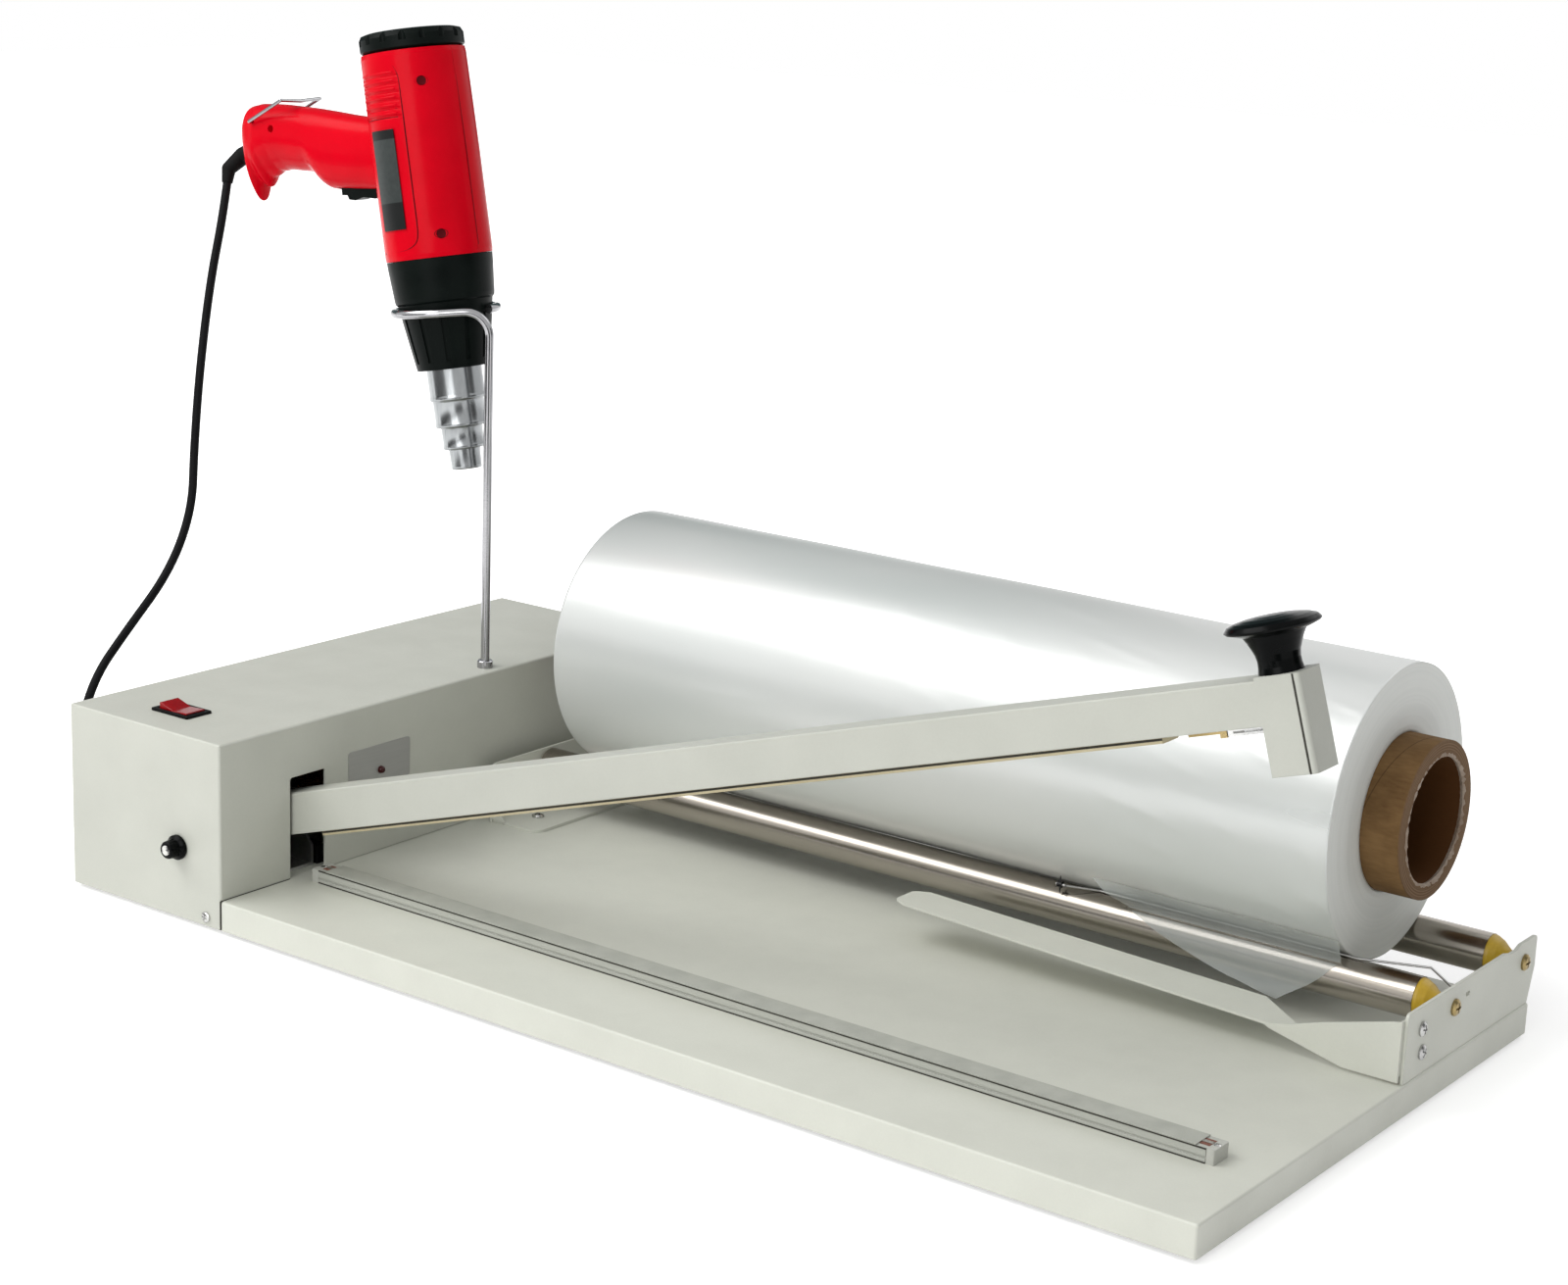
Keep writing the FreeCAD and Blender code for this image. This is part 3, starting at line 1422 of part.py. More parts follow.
def make_gun_bail():
    """Wire hanger: its ends turn in the handle's sides and its bar crosses the handle's crown."""
    side = handle_half_width + 1.6
    bar_h = bail_h - bail_reach
    bar_a = handle_station(bar_h)[2] + bail_over_crown
    pieces = []
    corners = []
    for way in (-1, 1):
        inner = gun_point(bail_a, bail_h, way * (handle_half_width - 2.0))
        outer = gun_point(bail_a, bail_h, way * side)
        corner = gun_point(bar_a, bar_h, way * side)
        pieces.append(rod(inner, outer, bail_wire))
        pieces.append(rod(outer, corner, bail_wire))
        pieces.append(Part.makeSphere(bail_wire, outer))
        pieces.append(Part.makeSphere(bail_wire, corner))
        corners.append(corner)
    dip = gun_point(bar_a - bail_dip, bar_h, 0.0)
    pieces.append(rod(corners[0], dip, bail_wire))
    pieces.append(rod(dip, corners[1], bail_wire))
    pieces.append(Part.makeSphere(bail_wire, dip))
    return hung(joined(pieces))


relief_root = (123.0, 157.0)
relief_knee = (118.8, 174.5)


def make_gun_relief():
    """Rubber boot: straight out of the butt, then bent down along the cord, tapering."""
    placement = FreeCAD.Placement(gun_origin, gun_turn)
    root = placement.multVec(gun_point(relief_root[0], relief_root[1]))
    knee = placement.multVec(gun_point(relief_knee[0], relief_knee[1], -1.5))
    tip, next_point = cord_points(cord_route)[:2]
    first_run = (next_point - tip).normalize()
    elbow = tip - first_run * 10.0
    pieces = [
        taper(root, knee, 6.6, 6.2),
        Part.makeSphere(6.2, knee),
        taper(knee, elbow, 6.2, 5.0),
        Part.makeSphere(5.0, elbow),
        taper(elbow, tip, 5.0, cord_diameter / 2 + 0.8),
    ]
    boot = joined(pieces).cut(hung(make_gun_body()))
    return boot.cut(rod(tip, tip + first_run * 8, 12))


def make_gun_side_plate():
    """Bare dark plate on the near side of the barrel, following its curve."""
    start = -112.0
    sweep = 33.5
    outline = [
        Vector(barrel_radius + 0.3, 0, 53.0),
        Vector(barrel_radius + 0.9, 0, 53.0),
        Vector(barrel_radius + 0.9, 0, 118.6),
        Vector(barrel_radius + 0.3, 0, 118.6),
    ]
    face = Part.Face(Part.makePolygon(outline + [outline[0]]))
    face.rotate(Vector(0, 0, 0), Vector(0, 0, 1), start)
    return hung(face.revolve(Vector(0, 0, 0), Vector(0, 0, 1), sweep))


# Gun cord.
cord_route = [
    (-117.5, 247.5, 426.4),
    (-114.0, 240.0, 404.0),
    (-108.0, 222.0, 360.0),
    (-99.0, 203.0, 300.0),
    (-94.0, 192.5, 246.0),
    (-90.5, 187.0, 205.0),
    (-87.5, 163.0, 165.0),
    (-83.0, 118.0, 130.0),
    (-80.5, 88.0, 104.0),
    (-80.0, 73.5, 68.0),
    (-82.0, 74.0, 30.0),
    (-86.0, 92.0, 3.4),
    (-91.5, 124.0, 0.2),
    (-91.0, 152.0, 0.2),
    (-90.0, 178.0, 0.2),
]
tail_route = [
    (-87.0, 178.0, 5.2),
    (-86.6, 204.0, 3.6),
    (-84.0, 228.0, 0.2),
    (-78.0, 250.0, 0.2),
]


def cord_points(route):
    """The route's points; its z values are measured from the surface plus the cord's radius."""
    lift = cord_diameter / 2 - foot_height
    result = []
    for x, y, z in route:
        result.append(Vector(x, y, z + lift) if z < 60 else Vector(x, y, z))
    return result


def cord_tube(points, label):
    """Tube along straight runs joined by tangent arcs as large as the runs allow."""
    edges = []
    radii = []
    last = points[0]
    for k in range(1, len(points) - 1):
        before = (points[k] - points[k - 1]).normalize()
        after = (points[k + 1] - points[k]).normalize()
        turn = math.acos(max(-1, min(1, before.dot(after))))
        shorter = min((points[k] - points[k - 1]).Length, (points[k + 1] - points[k]).Length)
        setback = 0.45 * shorter
        radius = setback / math.tan(turn / 2)
        radii.append(round(radius))
        start = points[k] - before * setback
        end = points[k] + after * setback
        toward = (after - before).normalize()
        centre = points[k] + toward * (radius / math.cos(turn / 2))
        middle = centre - toward * radius
        edges.append(Part.LineSegment(last, start).toShape())
        edges.append(Part.Arc(start, middle, end).toShape())
        last = end
    edges.append(Part.LineSegment(last, points[-1]).toShape())
    path = Part.Wire(edges)
    first = (points[1] - points[0]).normalize()
    section = Part.Wire(Part.makeCircle(cord_diameter / 2, points[0], first))
    tube = path.makePipeShell([section], True, False)
    expected = math.pi * (cord_diameter / 2) ** 2 * path.Length
    print(label, "length", round(path.Length, 1), "bend radii", radii)
    print(label, "volume share", round(tube.Volume / expected, 4))
    return tube


def make_cord_coil():
    """Outer shape of the put-away turns: three lie on the surface and two on top of them."""
    low = -foot_height
    wide = 1.5 * cord_diameter
    outline = [
        (coil_radius - wide, low + 1.2),
        (coil_radius - wide + 1.2, low),
        (coil_radius + wide - 1.2, low),
        (coil_radius + wide, low + 1.2),
        (coil_radius + wide, low + cord_diameter - 1.0),
        (coil_radius + cord_diameter, low + 1.866 * cord_diameter),
        (coil_radius - cord_diameter, low + 1.866 * cord_diameter),
        (coil_radius - wide, low + cord_diameter - 1.0),
    ]
    return turned(outline, Vector(coil_x, coil_y, 0))


plug_start = Vector(-78.0, 250.0, 0.2)


def make_cord_plug():
    """Moulded mains plug lying on its flat side, with two round pins."""
    z = plug_start.z + cord_diameter / 2 - foot_height
    start = Vector(plug_start.x, plug_start.y, z)
    forward = Vector(0.26, 0.9656, 0).normalize()
    boot = taper(start, start + forward * 22, 3.6, 5.2)
    height = 15.0
    low = -foot_height
    side = Vector(forward.y, -forward.x, 0)
    base = start + forward * 20
    base.z = low
    outline = [
        base - side * 6.5,
        base + side * 6.5,
        base + forward * 10 + side * 13,
        base + forward * 32 + side * 13,
        base + forward * 32 - side * 13,
        base + forward * 10 - side * 13,
    ]
    body = plate(outline, Vector(0, 0, height))
    body = rounded(body, 2.5, lambda e, m: along(e, 2) or m.z > low + height - 0.01)
    boot_low = boot.BoundBox.ZMin
    if boot_low < low:
        boot = boot.common(box(-400, 400, -100, 900, low, low + 40))
    pins = []
    face = base + forward * 31
    for offset in (-9.5, 9.5):
        foot = face + side * offset
        foot.z = low + height / 2
        pins.append(rod(foot, foot + forward * 20, 2.0))
    return joined([body, boot] + pins)


# Make every piece and save it.
nodes["base_pan"] = make_base_pan()
nodes["underside_plate"] = make_underside_plate()
nodes["feet"] = make_feet()
nodes["housing_cover"] = make_housing_cover()
nodes["cable_gland"] = make_cable_gland()
nodes["rocker_bezel"] = make_rocker_bezel()
nodes["rocker_key"] = make_rocker()
nodes["timer_knob"] = make_timer_knob()
nodes["timer_knob_cap"] = make_timer_knob_cap()
nodes["potentiometer"] = make_potentiometer()
nodes["lamp_plate"] = make_lamp_plate()
nodes["lamp"] = make_lamp()
nodes["transformer_core"] = make_transformer_core()
nodes["transformer_coil"] = make_transformer_coil()
nodes["timer_board"] = make_timer_board()
nodes["pivot_bracket"] = make_pivot_bracket()
nodes["pivot_pin"] = make_pivot_pin()
nodes["pivot_washers"] = make_pivot_washers()
nodes["arm_channel"] = make_arm_channel()
nodes["arm_pad"] = make_arm_pad()
nodes["pad_clip"] = make_pad_clip()
nodes["pad_tensioner"] = make_pad_tensioner()
nodes["arm_knob"] = make_arm_knob()
nodes["return_spring"] = make_return_spring()
nodes["arm_stop"] = make_arm_stop()
nodes["microswitch"] = make_microswitch()
nodes["seal_rail"] = make_seal_rail()
nodes["rail_rubber"] = make_rail_rubber()
nodes["seal_ribbon"] = make_seal_ribbon()
nodes["ribbon_cover"] = make_ribbon_cover()
nodes["rail_blocks"] = make_rail_blocks()
nodes["left_bracket"] = make_left_bracket()
nodes["right_bracket"] = make_right_bracket()
nodes["sheet_screws"] = make_sheet_screws()
nodes["axle_screws"] = make_axle_screws()
nodes["front_roller"] = make_roller(roller_front_y)
nodes["front_roller_plugs"] = make_roller_plugs(roller_front_y)
nodes["rear_roller"] = make_roller(roller_back_y)
nodes["rear_roller_plugs"] = make_roller_plugs(roller_back_y)
nodes["film_roll"] = make_film_roll()
nodes["film_core"] = make_film_core()
nodes["separator"] = make_separator()
nodes["perforator_wheel"] = make_perforator_wheel()
nodes["perforator_arm"] = make_perforator_arm()
nodes["stand_rod"] = make_stand_rod()
nodes["rod_collar"] = make_rod_collar()
nodes["gun_shell_near"], nodes["gun_shell_far"] = make_gun_shells()
nodes["gun_cap"] = make_gun_cap()
nodes["gun_collar"] = make_gun_collar()
nodes["gun_shroud"] = make_gun_shroud()
nodes["gun_nozzle"] = make_gun_nozzle()
nodes["gun_trigger"] = make_gun_trigger()
nodes["gun_bail"] = make_gun_bail()
nodes["gun_relief"] = make_gun_relief()
nodes["gun_side_plate"] = make_gun_side_plate()
nodes["cord_run"] = cord_tube(cord_points(cord_route), "cord run")
nodes["cord_tail"] = cord_tube(cord_points(tail_route), "cord tail")
nodes["cord_coil"] = make_cord_coil()
nodes["cord_plug"] = make_cord_plug()

cord_names = ("cord_run", "cord_tail", "cord_coil", "cord_plug")
whole = FreeCAD.BoundBox()
for name, shape in nodes.items():
    if name not in cord_names:
        whole.add(shape.optimalBoundingBox(False, False))
shift = Vector(-(whole.XMin + whole.XMax) / 2, -(whole.YMin + whole.YMax) / 2, foot_height)
print("shift", [round(v, 4) for v in (shift.x, shift.y, shift.z)], "nodes", len(nodes))
for name, shape in nodes.items():
    placed = shape.copy()
    placed.translate(shift)
    if not placed.isValid():
        print("not valid:", name)
    placed.exportStep("parts/" + name + ".step")
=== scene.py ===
import math
import random

import bmesh
import bpy
from mathutils import Matrix, Vector, noise


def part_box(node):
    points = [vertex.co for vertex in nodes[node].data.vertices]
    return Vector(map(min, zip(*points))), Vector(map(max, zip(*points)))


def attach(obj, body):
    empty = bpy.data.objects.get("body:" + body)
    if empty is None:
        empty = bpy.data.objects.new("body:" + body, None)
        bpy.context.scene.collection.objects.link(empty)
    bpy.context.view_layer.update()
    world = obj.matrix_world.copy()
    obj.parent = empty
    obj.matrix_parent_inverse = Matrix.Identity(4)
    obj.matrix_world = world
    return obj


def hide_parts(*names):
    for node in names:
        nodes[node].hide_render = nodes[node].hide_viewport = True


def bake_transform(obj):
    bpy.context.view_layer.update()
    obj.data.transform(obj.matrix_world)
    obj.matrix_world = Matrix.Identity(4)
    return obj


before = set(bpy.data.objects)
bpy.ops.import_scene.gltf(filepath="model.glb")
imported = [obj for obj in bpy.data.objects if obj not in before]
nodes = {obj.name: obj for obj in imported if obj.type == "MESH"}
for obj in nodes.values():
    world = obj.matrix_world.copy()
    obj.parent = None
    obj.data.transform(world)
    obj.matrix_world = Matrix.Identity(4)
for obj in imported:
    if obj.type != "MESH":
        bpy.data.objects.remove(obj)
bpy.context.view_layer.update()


# ---- Viewpoint and studio
# A long lens looks down a little from the right of the machine's front. A white paper floor,
# one wide soft lamp high on the left and two weaker ones light it evenly. Three dark cards and
# a blue-grey one stand round the object, so that steel, film and gloss have something to mirror.
def in_scene(name, data):
    """A new object in the scene that carries this data."""
    made = bpy.data.objects.new(name, data)
    bpy.context.scene.collection.objects.link(made)
    return made


camera_data = bpy.data.cameras.new("camera")
camera_data.sensor_fit = "HORIZONTAL"
camera_data.sensor_width = 36.0
camera_data.lens = 68.10
camera_data.clip_start = 0.05
camera = in_scene("camera", camera_data)
# Solved from the photo's straight edges, in metres.
camera.matrix_world = Matrix((
    (0.79982, -0.17836, 0.57312, 1.086247),
    (0.59903, 0.17688, -0.78094, -1.409366),
    (0.03791, 0.96793, 0.24832, 0.648562),
    (0, 0, 0, 1),
))
bpy.context.scene.camera = camera
bpy.context.scene.view_settings.view_transform = "Standard"


def put(tree, kind, at=None, **values):
    """Adds a node. Lower-case names are its settings; capitalised ones and "at" are its sockets."""
    made = tree.nodes.new(kind)
    for name, value in values.items():
        if name[0].islower():
            setattr(made, name, value)
    sockets = {name.replace("_", " "): value for name, value in values.items() if name[0].isupper()}
    sockets.update(at or {})
    for name, value in sockets.items():
        if isinstance(value, bpy.types.NodeSocket):
            tree.links.new(value, made.inputs[name])
        else:
            made.inputs[name].default_value = value
    return made


def maths(tree, operation, *values):
    """One step of arithmetic with numbers or sockets."""
    return put(tree, "ShaderNodeMath", operation=operation, at=dict(enumerate(values))).outputs[0]


def ranged(tree, value, low, high, first=0.0, last=1.0, **settings):
    """Where a value stands between low and high, given as a number between first and last."""
    at = {1: low, 2: high, 3: first, 4: last}
    return put(tree, "ShaderNodeMapRange", Value=value, at=at, **settings).outputs[0]


def new_finish(name):
    """A new finish, its node tree and its main shader."""
    material = bpy.data.materials.new(name)
    material.use_nodes = True
    return material, material.node_tree, material.node_tree.nodes["Principled BSDF"]


def seen_or_mirrored(tree):
    """1 where a surface is seen, itself or in a mirror or clear piece, and 0 where it only lights."""
    path = put(tree, "ShaderNodeLightPath").outputs
    either = maths(tree, "MAXIMUM", path["Is Camera Ray"], path["Is Glossy Ray"])
    return maths(tree, "MAXIMUM", either, path["Is Transmission Ray"])


world = bpy.data.worlds.new("studio")
bpy.context.scene.world = world
world.use_nodes = True
sky = world.node_tree
sky.nodes["Background"].inputs["Color"].default_value = (1.0, 1.0, 1.0, 1.0)
lighting, seen = 0.40, 1.0
strength = ranged(sky, seen_or_mirrored(sky), 0.0, 1.0, lighting, seen)
sky.links.new(strength, sky.nodes["Background"].inputs["Strength"])

# The paper glows by itself where it is seen, most of all far out, so that it ends in plain white.
near, far, near_glow, far_glow, glow_as_lamp = 0.5, 1.4, 0.45, 1.0, 0.22
paper, tree, paper_shader = new_finish("paper")
paper_shader.inputs["Base Color"].default_value = (0.86, 0.86, 0.86, 1)
paper_shader.inputs["Roughness"].default_value = 0.9
paper_shader.inputs["Emission Color"].default_value = (1, 1, 1, 1)
place = put(tree, "ShaderNodeTexCoord").outputs["Object"]
away = put(tree, "ShaderNodeVectorMath", operation="LENGTH", at={0: place}).outputs["Value"]
brighter = ranged(tree, away, near, far, near_glow, far_glow)
lit = maths(tree, "MAXIMUM", seen_or_mirrored(tree), glow_as_lamp)
glow = maths(tree, "MULTIPLY", lit, brighter)
tree.links.new(glow, paper_shader.inputs["Emission Strength"])
bpy.ops.mesh.primitive_grid_add(x_subdivisions=4, y_subdivisions=4, size=14.0)
floor = bpy.context.object
floor.name = "floor"
floor.data.materials.append(paper)

# The cards face the middle, and only mirroring surfaces see them.
dark_card, blue_card = (0.02, 0.02, 0.02, 1), (0.06, 0.10, 0.105, 1)
for name, centre, half_width, foot, height, shade in (
    ("card_left", (-0.86, -1.14), 0.75, 0.0, 0.32, dark_card),
    ("card_right", (1.45, 0.62), 0.42, 0.0, 0.85, dark_card),
    ("card_front", (0.62, -0.90), 0.42, 0.0, 0.33, dark_card),
    ("card_back", (-1.10, 0.75), 1.00, 0.42, 2.40, blue_card),
):
    card_paper, _, card_shader = new_finish(name)
    card_shader.inputs["Base Color"].default_value = shade
    along = Vector((-centre[1], centre[0])).normalized() * half_width
    corners = [
        (centre[0] + side * along.x, centre[1] + side * along.y, z)
        for side, z in ((-1, foot), (1, foot), (1, height), (-1, height))
    ]
    mesh = bpy.data.meshes.new(name)
    mesh.from_pydata(corners, [], [(0, 1, 2, 3)])
    mesh.materials.append(card_paper)
    card = in_scene(name, mesh)
    for ray in ("camera", "diffuse", "shadow", "transmission"):
        setattr(card, "visible_" + ray, False)

for name, place, target, width, depth, watts in (
    ("key", (-1.15, -1.20, 2.1), (0.0, 0.0, 0.1), 2.2, 1.6, 47.0),
    ("fill", (0.5, -2.6, 1.2), (0.1, 0.0, 0.1), 1.6, 1.6, 24.0),
    ("back", (0.9, 2.0, 2.0), (0.1, 0.0, 0.1), 2.0, 1.2, 10.0),
):
    lamp_data = bpy.data.lights.new(name, "AREA")
    lamp_data.shape = "RECTANGLE"
    lamp_data.size = width
    lamp_data.size_y = depth
    lamp_data.energy = watts
    lamp = in_scene(name, lamp_data)
    lamp.location = place
    lamp.rotation_euler = (Vector(target) - Vector(place)).to_track_quat("-Z", "Y").to_euler()


# ---- The gun's cord
# Round black rubber-sheathed lead, 6 mm thick. It hangs from the handle's boot, lies down on the
# table to the left of the housing and is put away in a neat coil of five turns before its plug.
def mixed(tree, share, first, second):
    """Two colours, mixed by a share."""
    return put(tree, "ShaderNodeMix", data_type="RGBA", at={0: share, 6: first, 7: second}).outputs[2]


def surface(
    name, pale, dark, rough=(0.4, 0.5), grain=400.0, bump=0.0001, stretch=(1, 1, 1), edge=0.0,
    spread=(0.45, 0.95), **sockets,
):
    """A finish whose colour, gloss and relief vary with place: clouds, a fine grain and its bump."""
    material, tree, shader = new_finish(name)
    at = put(tree, "ShaderNodeTexCoord").outputs["Object"]
    along = put(tree, "ShaderNodeMapping", Vector=at, Scale=stretch).outputs["Vector"]
    clouds = put(tree, "ShaderNodeTexNoise", Vector=along, Scale=grain / 30, Detail=5.0).outputs["Fac"]
    fine = put(tree, "ShaderNodeTexNoise", Vector=along, Scale=grain, Detail=3.0).outputs["Fac"]
    both = maths(tree, "MULTIPLY_ADD", fine, 0.4, clouds)
    share = ranged(tree, both, *spread)
    colour = mixed(tree, share, (*pale, 1), (*dark, 1))
    gloss = ranged(tree, both, 0.45, 0.95, *rough)
    relief = put(tree, "ShaderNodeBump", Strength=1.0, Distance=bump, Height=fine)
    if edge:
        soft = put(tree, "ShaderNodeBevel", samples=4, Radius=edge).outputs["Normal"]
        tree.links.new(soft, relief.inputs["Normal"])
    tree.links.new(colour, shader.inputs["Base Color"])
    tree.links.new(gloss, shader.inputs["Roughness"])
    tree.links.new(relief.outputs["Normal"], shader.inputs["Normal"])
    for socket, value in sockets.items():
        shader.inputs[socket.replace("_", " ")].default_value = value
    return material


def dress(material, *names):
    """Gives CAD pieces their finish."""
    for name in names:
        for slot in nodes[name].material_slots:
            slot.material = material


def add_piece(name, mesh, body, finish, slot_name, *stands_for):
    """Puts a finished mesh in the scene: it rides on a body and stands for CAD pieces, if any."""
    made = in_scene(name, mesh)
    if finish:
        mesh.materials.clear()
        mesh.materials.append(finish)
    if stands_for:
        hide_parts(*stands_for)
    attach(made, body)
    return made


cord_sheath = surface(
    "cord sheath", (0.003, 0.003, 0.0035), (0.008, 0.008, 0.009), (0.42, 0.58), 900.0, 0.00004,
    Specular_IOR_Level=0.07,
)
cord_thickness = 0.006
hang = [
    (-0.476039, 0.038500, 0.429400),
    (-0.472539, 0.031000, 0.407000),
    (-0.466539, 0.013000, 0.363000),
    (-0.457539, -0.006000, 0.303000),
    (-0.452539, -0.016500, 0.249000),
    (-0.449039, -0.022000, 0.208000),
    (-0.446039, -0.046000, 0.168000),
    (-0.441539, -0.091000, 0.133000),
    (-0.439039, -0.121000, 0.107000),
    (-0.438539, -0.135500, 0.071000),
    (-0.440539, -0.135000, 0.033000),
    (-0.444539, -0.117000, 0.006400),
    (-0.450039, -0.085000, 0.003200),
    (-0.449539, -0.057000, 0.003200),
]

# The coil winds inwards on the table and outwards again on top of itself. A spline runs a little
# inside its points, so these stand out by that share.
coil_centre = Vector((-0.409539, -0.031000, 0.0))
table_rest, layer_up = 0.0032, 0.0062
coil_turns, steps_per_turn = 5, 12
outer_radius, radius_per_turn, spline_share = 0.0390, 0.0061, 0.966
climb_from, climb_turns = 2.3, 0.4
coil = []
for step in range(coil_turns * steps_per_turn + 1):
    turns = step / steps_per_turn
    radius = outer_radius - radius_per_turn * min(turns, coil_turns - turns)
    climb = min(1.0, max(0.0, (turns - climb_from) / climb_turns))
    angle = math.pi - 2 * math.pi * turns
    reach = radius / spline_share
    coil.append((
        coil_centre.x + reach * math.cos(angle),
        coil_centre.y + reach * math.sin(angle),
        table_rest + layer_up * climb * climb * (3 - 2 * climb),
    ))
tail = [
    (-0.448778, -0.008000, 0.008800),
    (-0.445778, 0.011000, 0.004600),
    (-0.441778, 0.027000, 0.003200),
    (-0.436539, 0.041000, 0.003200),
]


def round_line(name, runs, thickness, facets, steps):
    """A curve with a round section along each of these runs of points."""
    curve = bpy.data.curves.new(name, "CURVE")
    curve.dimensions = "3D"
    curve.bevel_depth = thickness / 2
    curve.bevel_resolution = facets
    curve.use_fill_caps = True
    for run in runs:
        spline = curve.splines.new("NURBS")
        spline.points.add(len(run) - 1)
        for point, place in zip(spline.points, run):
            point.co = (*place, 1.0)
        spline.order_u = 3
        spline.use_endpoint_u = True
        spline.resolution_u = steps
    return curve


def taken_from(carrier):
    """The plain mesh that an object shows. The object itself goes."""
    bpy.context.view_layer.update()
    shown = carrier.evaluated_get(bpy.context.evaluated_depsgraph_get())
    mesh = bpy.data.meshes.new_from_object(shown)
    carrier.modifiers.clear()
    bpy.data.objects.remove(carrier)
    return mesh


# The gun can be lifted out of its ring. The cord is one round mesh along the line; its bare centre line
# is taken too.
cord_line = round_line("gun_cord", [hang + coil + tail], cord_thickness, facets=6, steps=8)
cord_line.materials.append(cord_sheath)
cord = in_scene("gun_cord", taken_from(in_scene("carrier", cord_line)))
cord_line.bevel_depth = 0.0
chain = taken_from(in_scene("carrier", cord_line))
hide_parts("cord_run", "cord_coil", "cord_tail")
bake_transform(cord)

# ---- The cord's plug
# Moulded plug with two round pins; the sheath runs into its tapered neck. It lies out of sight,
# so one dark rubber finish does for all of it.
plug_rubber = surface(
    "plug rubber", (0.010, 0.010, 0.011), (0.020, 0.020, 0.021), (0.5, 0.65), 1400.0, 0.00006,
    edge=0.0006,
)
dress(plug_rubber, "cord_plug")

# ---- Painted sheet steel: base, housing, brackets, arm and film separator
# Folded steel with a warm light grey powder coat: faint orange peel, softly rounded folds and pale
# clouds of dust and handling. The one paint comes in lit and shaded copies: painted paler on the
# base, brackets and separator, a shade darker on the housing and darker still on the arm, as
# painted light and shade. Underside plate and pivot bracket are bare galvanised sheet; the feet and
# the arm's stop, rubber.
# Paler copy of the coat: painted light.
coat_painted_light = surface(
    "grey powder coat, painted light", (0.630, 0.641, 0.570), (0.588, 0.598, 0.532), (0.40, 0.52), 760.0, 0.000025,
    edge=0.0007, Coat_Weight=0.05, Coat_Roughness=0.3,
)
dress(coat_painted_light, "base_pan", "left_bracket", "right_bracket", "separator")
# Darker copy of the same coat on the housing: painted shade.
coat_painted_shade = surface(
    "housing powder coat, painted shade", (0.535, 0.545, 0.485), (0.498, 0.508, 0.452), (0.40, 0.52), 760.0, 0.000025,
    edge=0.0007, Coat_Weight=0.05, Coat_Roughness=0.3,
)
dress(coat_painted_shade, "housing_cover")
# Darker copy still on the arm: painted shade.
coat_painted_deeper_shade = surface(
    "arm powder coat, painted deeper shade", (0.485, 0.494, 0.440), (0.452, 0.461, 0.410), (0.42, 0.54), 760.0, 0.000025,
    edge=0.0007, Coat_Weight=0.04, Coat_Roughness=0.3,
)
dress(coat_painted_deeper_shade, "arm_channel")
galvanised = surface(
    "galvanised sheet", (0.50, 0.50, 0.49), (0.33, 0.34, 0.34), (0.3, 0.5), 300.0, 0.00003, Metallic=1.0
)
dress(galvanised, "underside_plate", "pivot_bracket")
foot_rubber = surface(
    "foot rubber", (0.016, 0.016, 0.016), (0.03, 0.03, 0.03), (0.6, 0.8), 900.0, 0.00008
)
dress(foot_rubber, "feet", "arm_stop")

# ---- Screws
# Zinc-plated pan-head screws with a cross recess, each turned a little differently, and brass
# shouldered ones on which the rollers turn. Pivot pin, pad tensioner and spring are plated too.
plated = surface(
    "zinc plating", (0.62, 0.62, 0.60), (0.40, 0.40, 0.40), (0.16, 0.32), 1200.0, 0.00002, Metallic=1.0
)
brass = surface(
    "turned brass", (0.44, 0.34, 0.16), (0.24, 0.18, 0.08), (0.22, 0.38), 900.0, 0.00002, Metallic=1.0
)


def geometry_tree(name, **inputs):
    """A Geometry Nodes tree with named number inputs; gives the tree, its input sockets and ids."""
    made = bpy.data.node_groups.new(name, "GeometryNodeTree")
    made.is_modifier = True
    made.interface.new_socket("Geometry", in_out="INPUT", socket_type="NodeSocketGeometry")
    ids = {}
    for label, value in inputs.items():
        kind = "NodeSocketInt" if isinstance(value, int) else "NodeSocketFloat"
        socket = made.interface.new_socket(label.replace("_", " "), in_out="INPUT", socket_type=kind)
        socket.default_value = value
        ids[label] = socket.identifier
    made.interface.new_socket("Geometry", in_out="OUTPUT", socket_type="NodeSocketGeometry")
    start = made.nodes.new("NodeGroupInput").outputs
    return made, start, ids


def finish_tree(tree, geometry, material):
    """Ends a tree: copies are made real and given their finish."""
    real = put(tree, "GeometryNodeRealizeInstances", Geometry=geometry).outputs[0]
    dressed = put(tree, "GeometryNodeSetMaterial", Geometry=real, Material=material).outputs[0]
    end = tree.nodes.new("NodeGroupOutput")
    tree.links.new(dressed, end.inputs[0])


def grown(carrier_data, tree, ids, **values):
    """Runs a tree on a mesh or curve and gives the plain mesh that comes out."""
    carrier = in_scene("carrier", carrier_data)
    modifier = carrier.modifiers.new("grow", "NODES")
    modifier.node_group = tree
    for label, value in values.items():
        modifier[ids[label]] = value
    return taken_from(carrier)


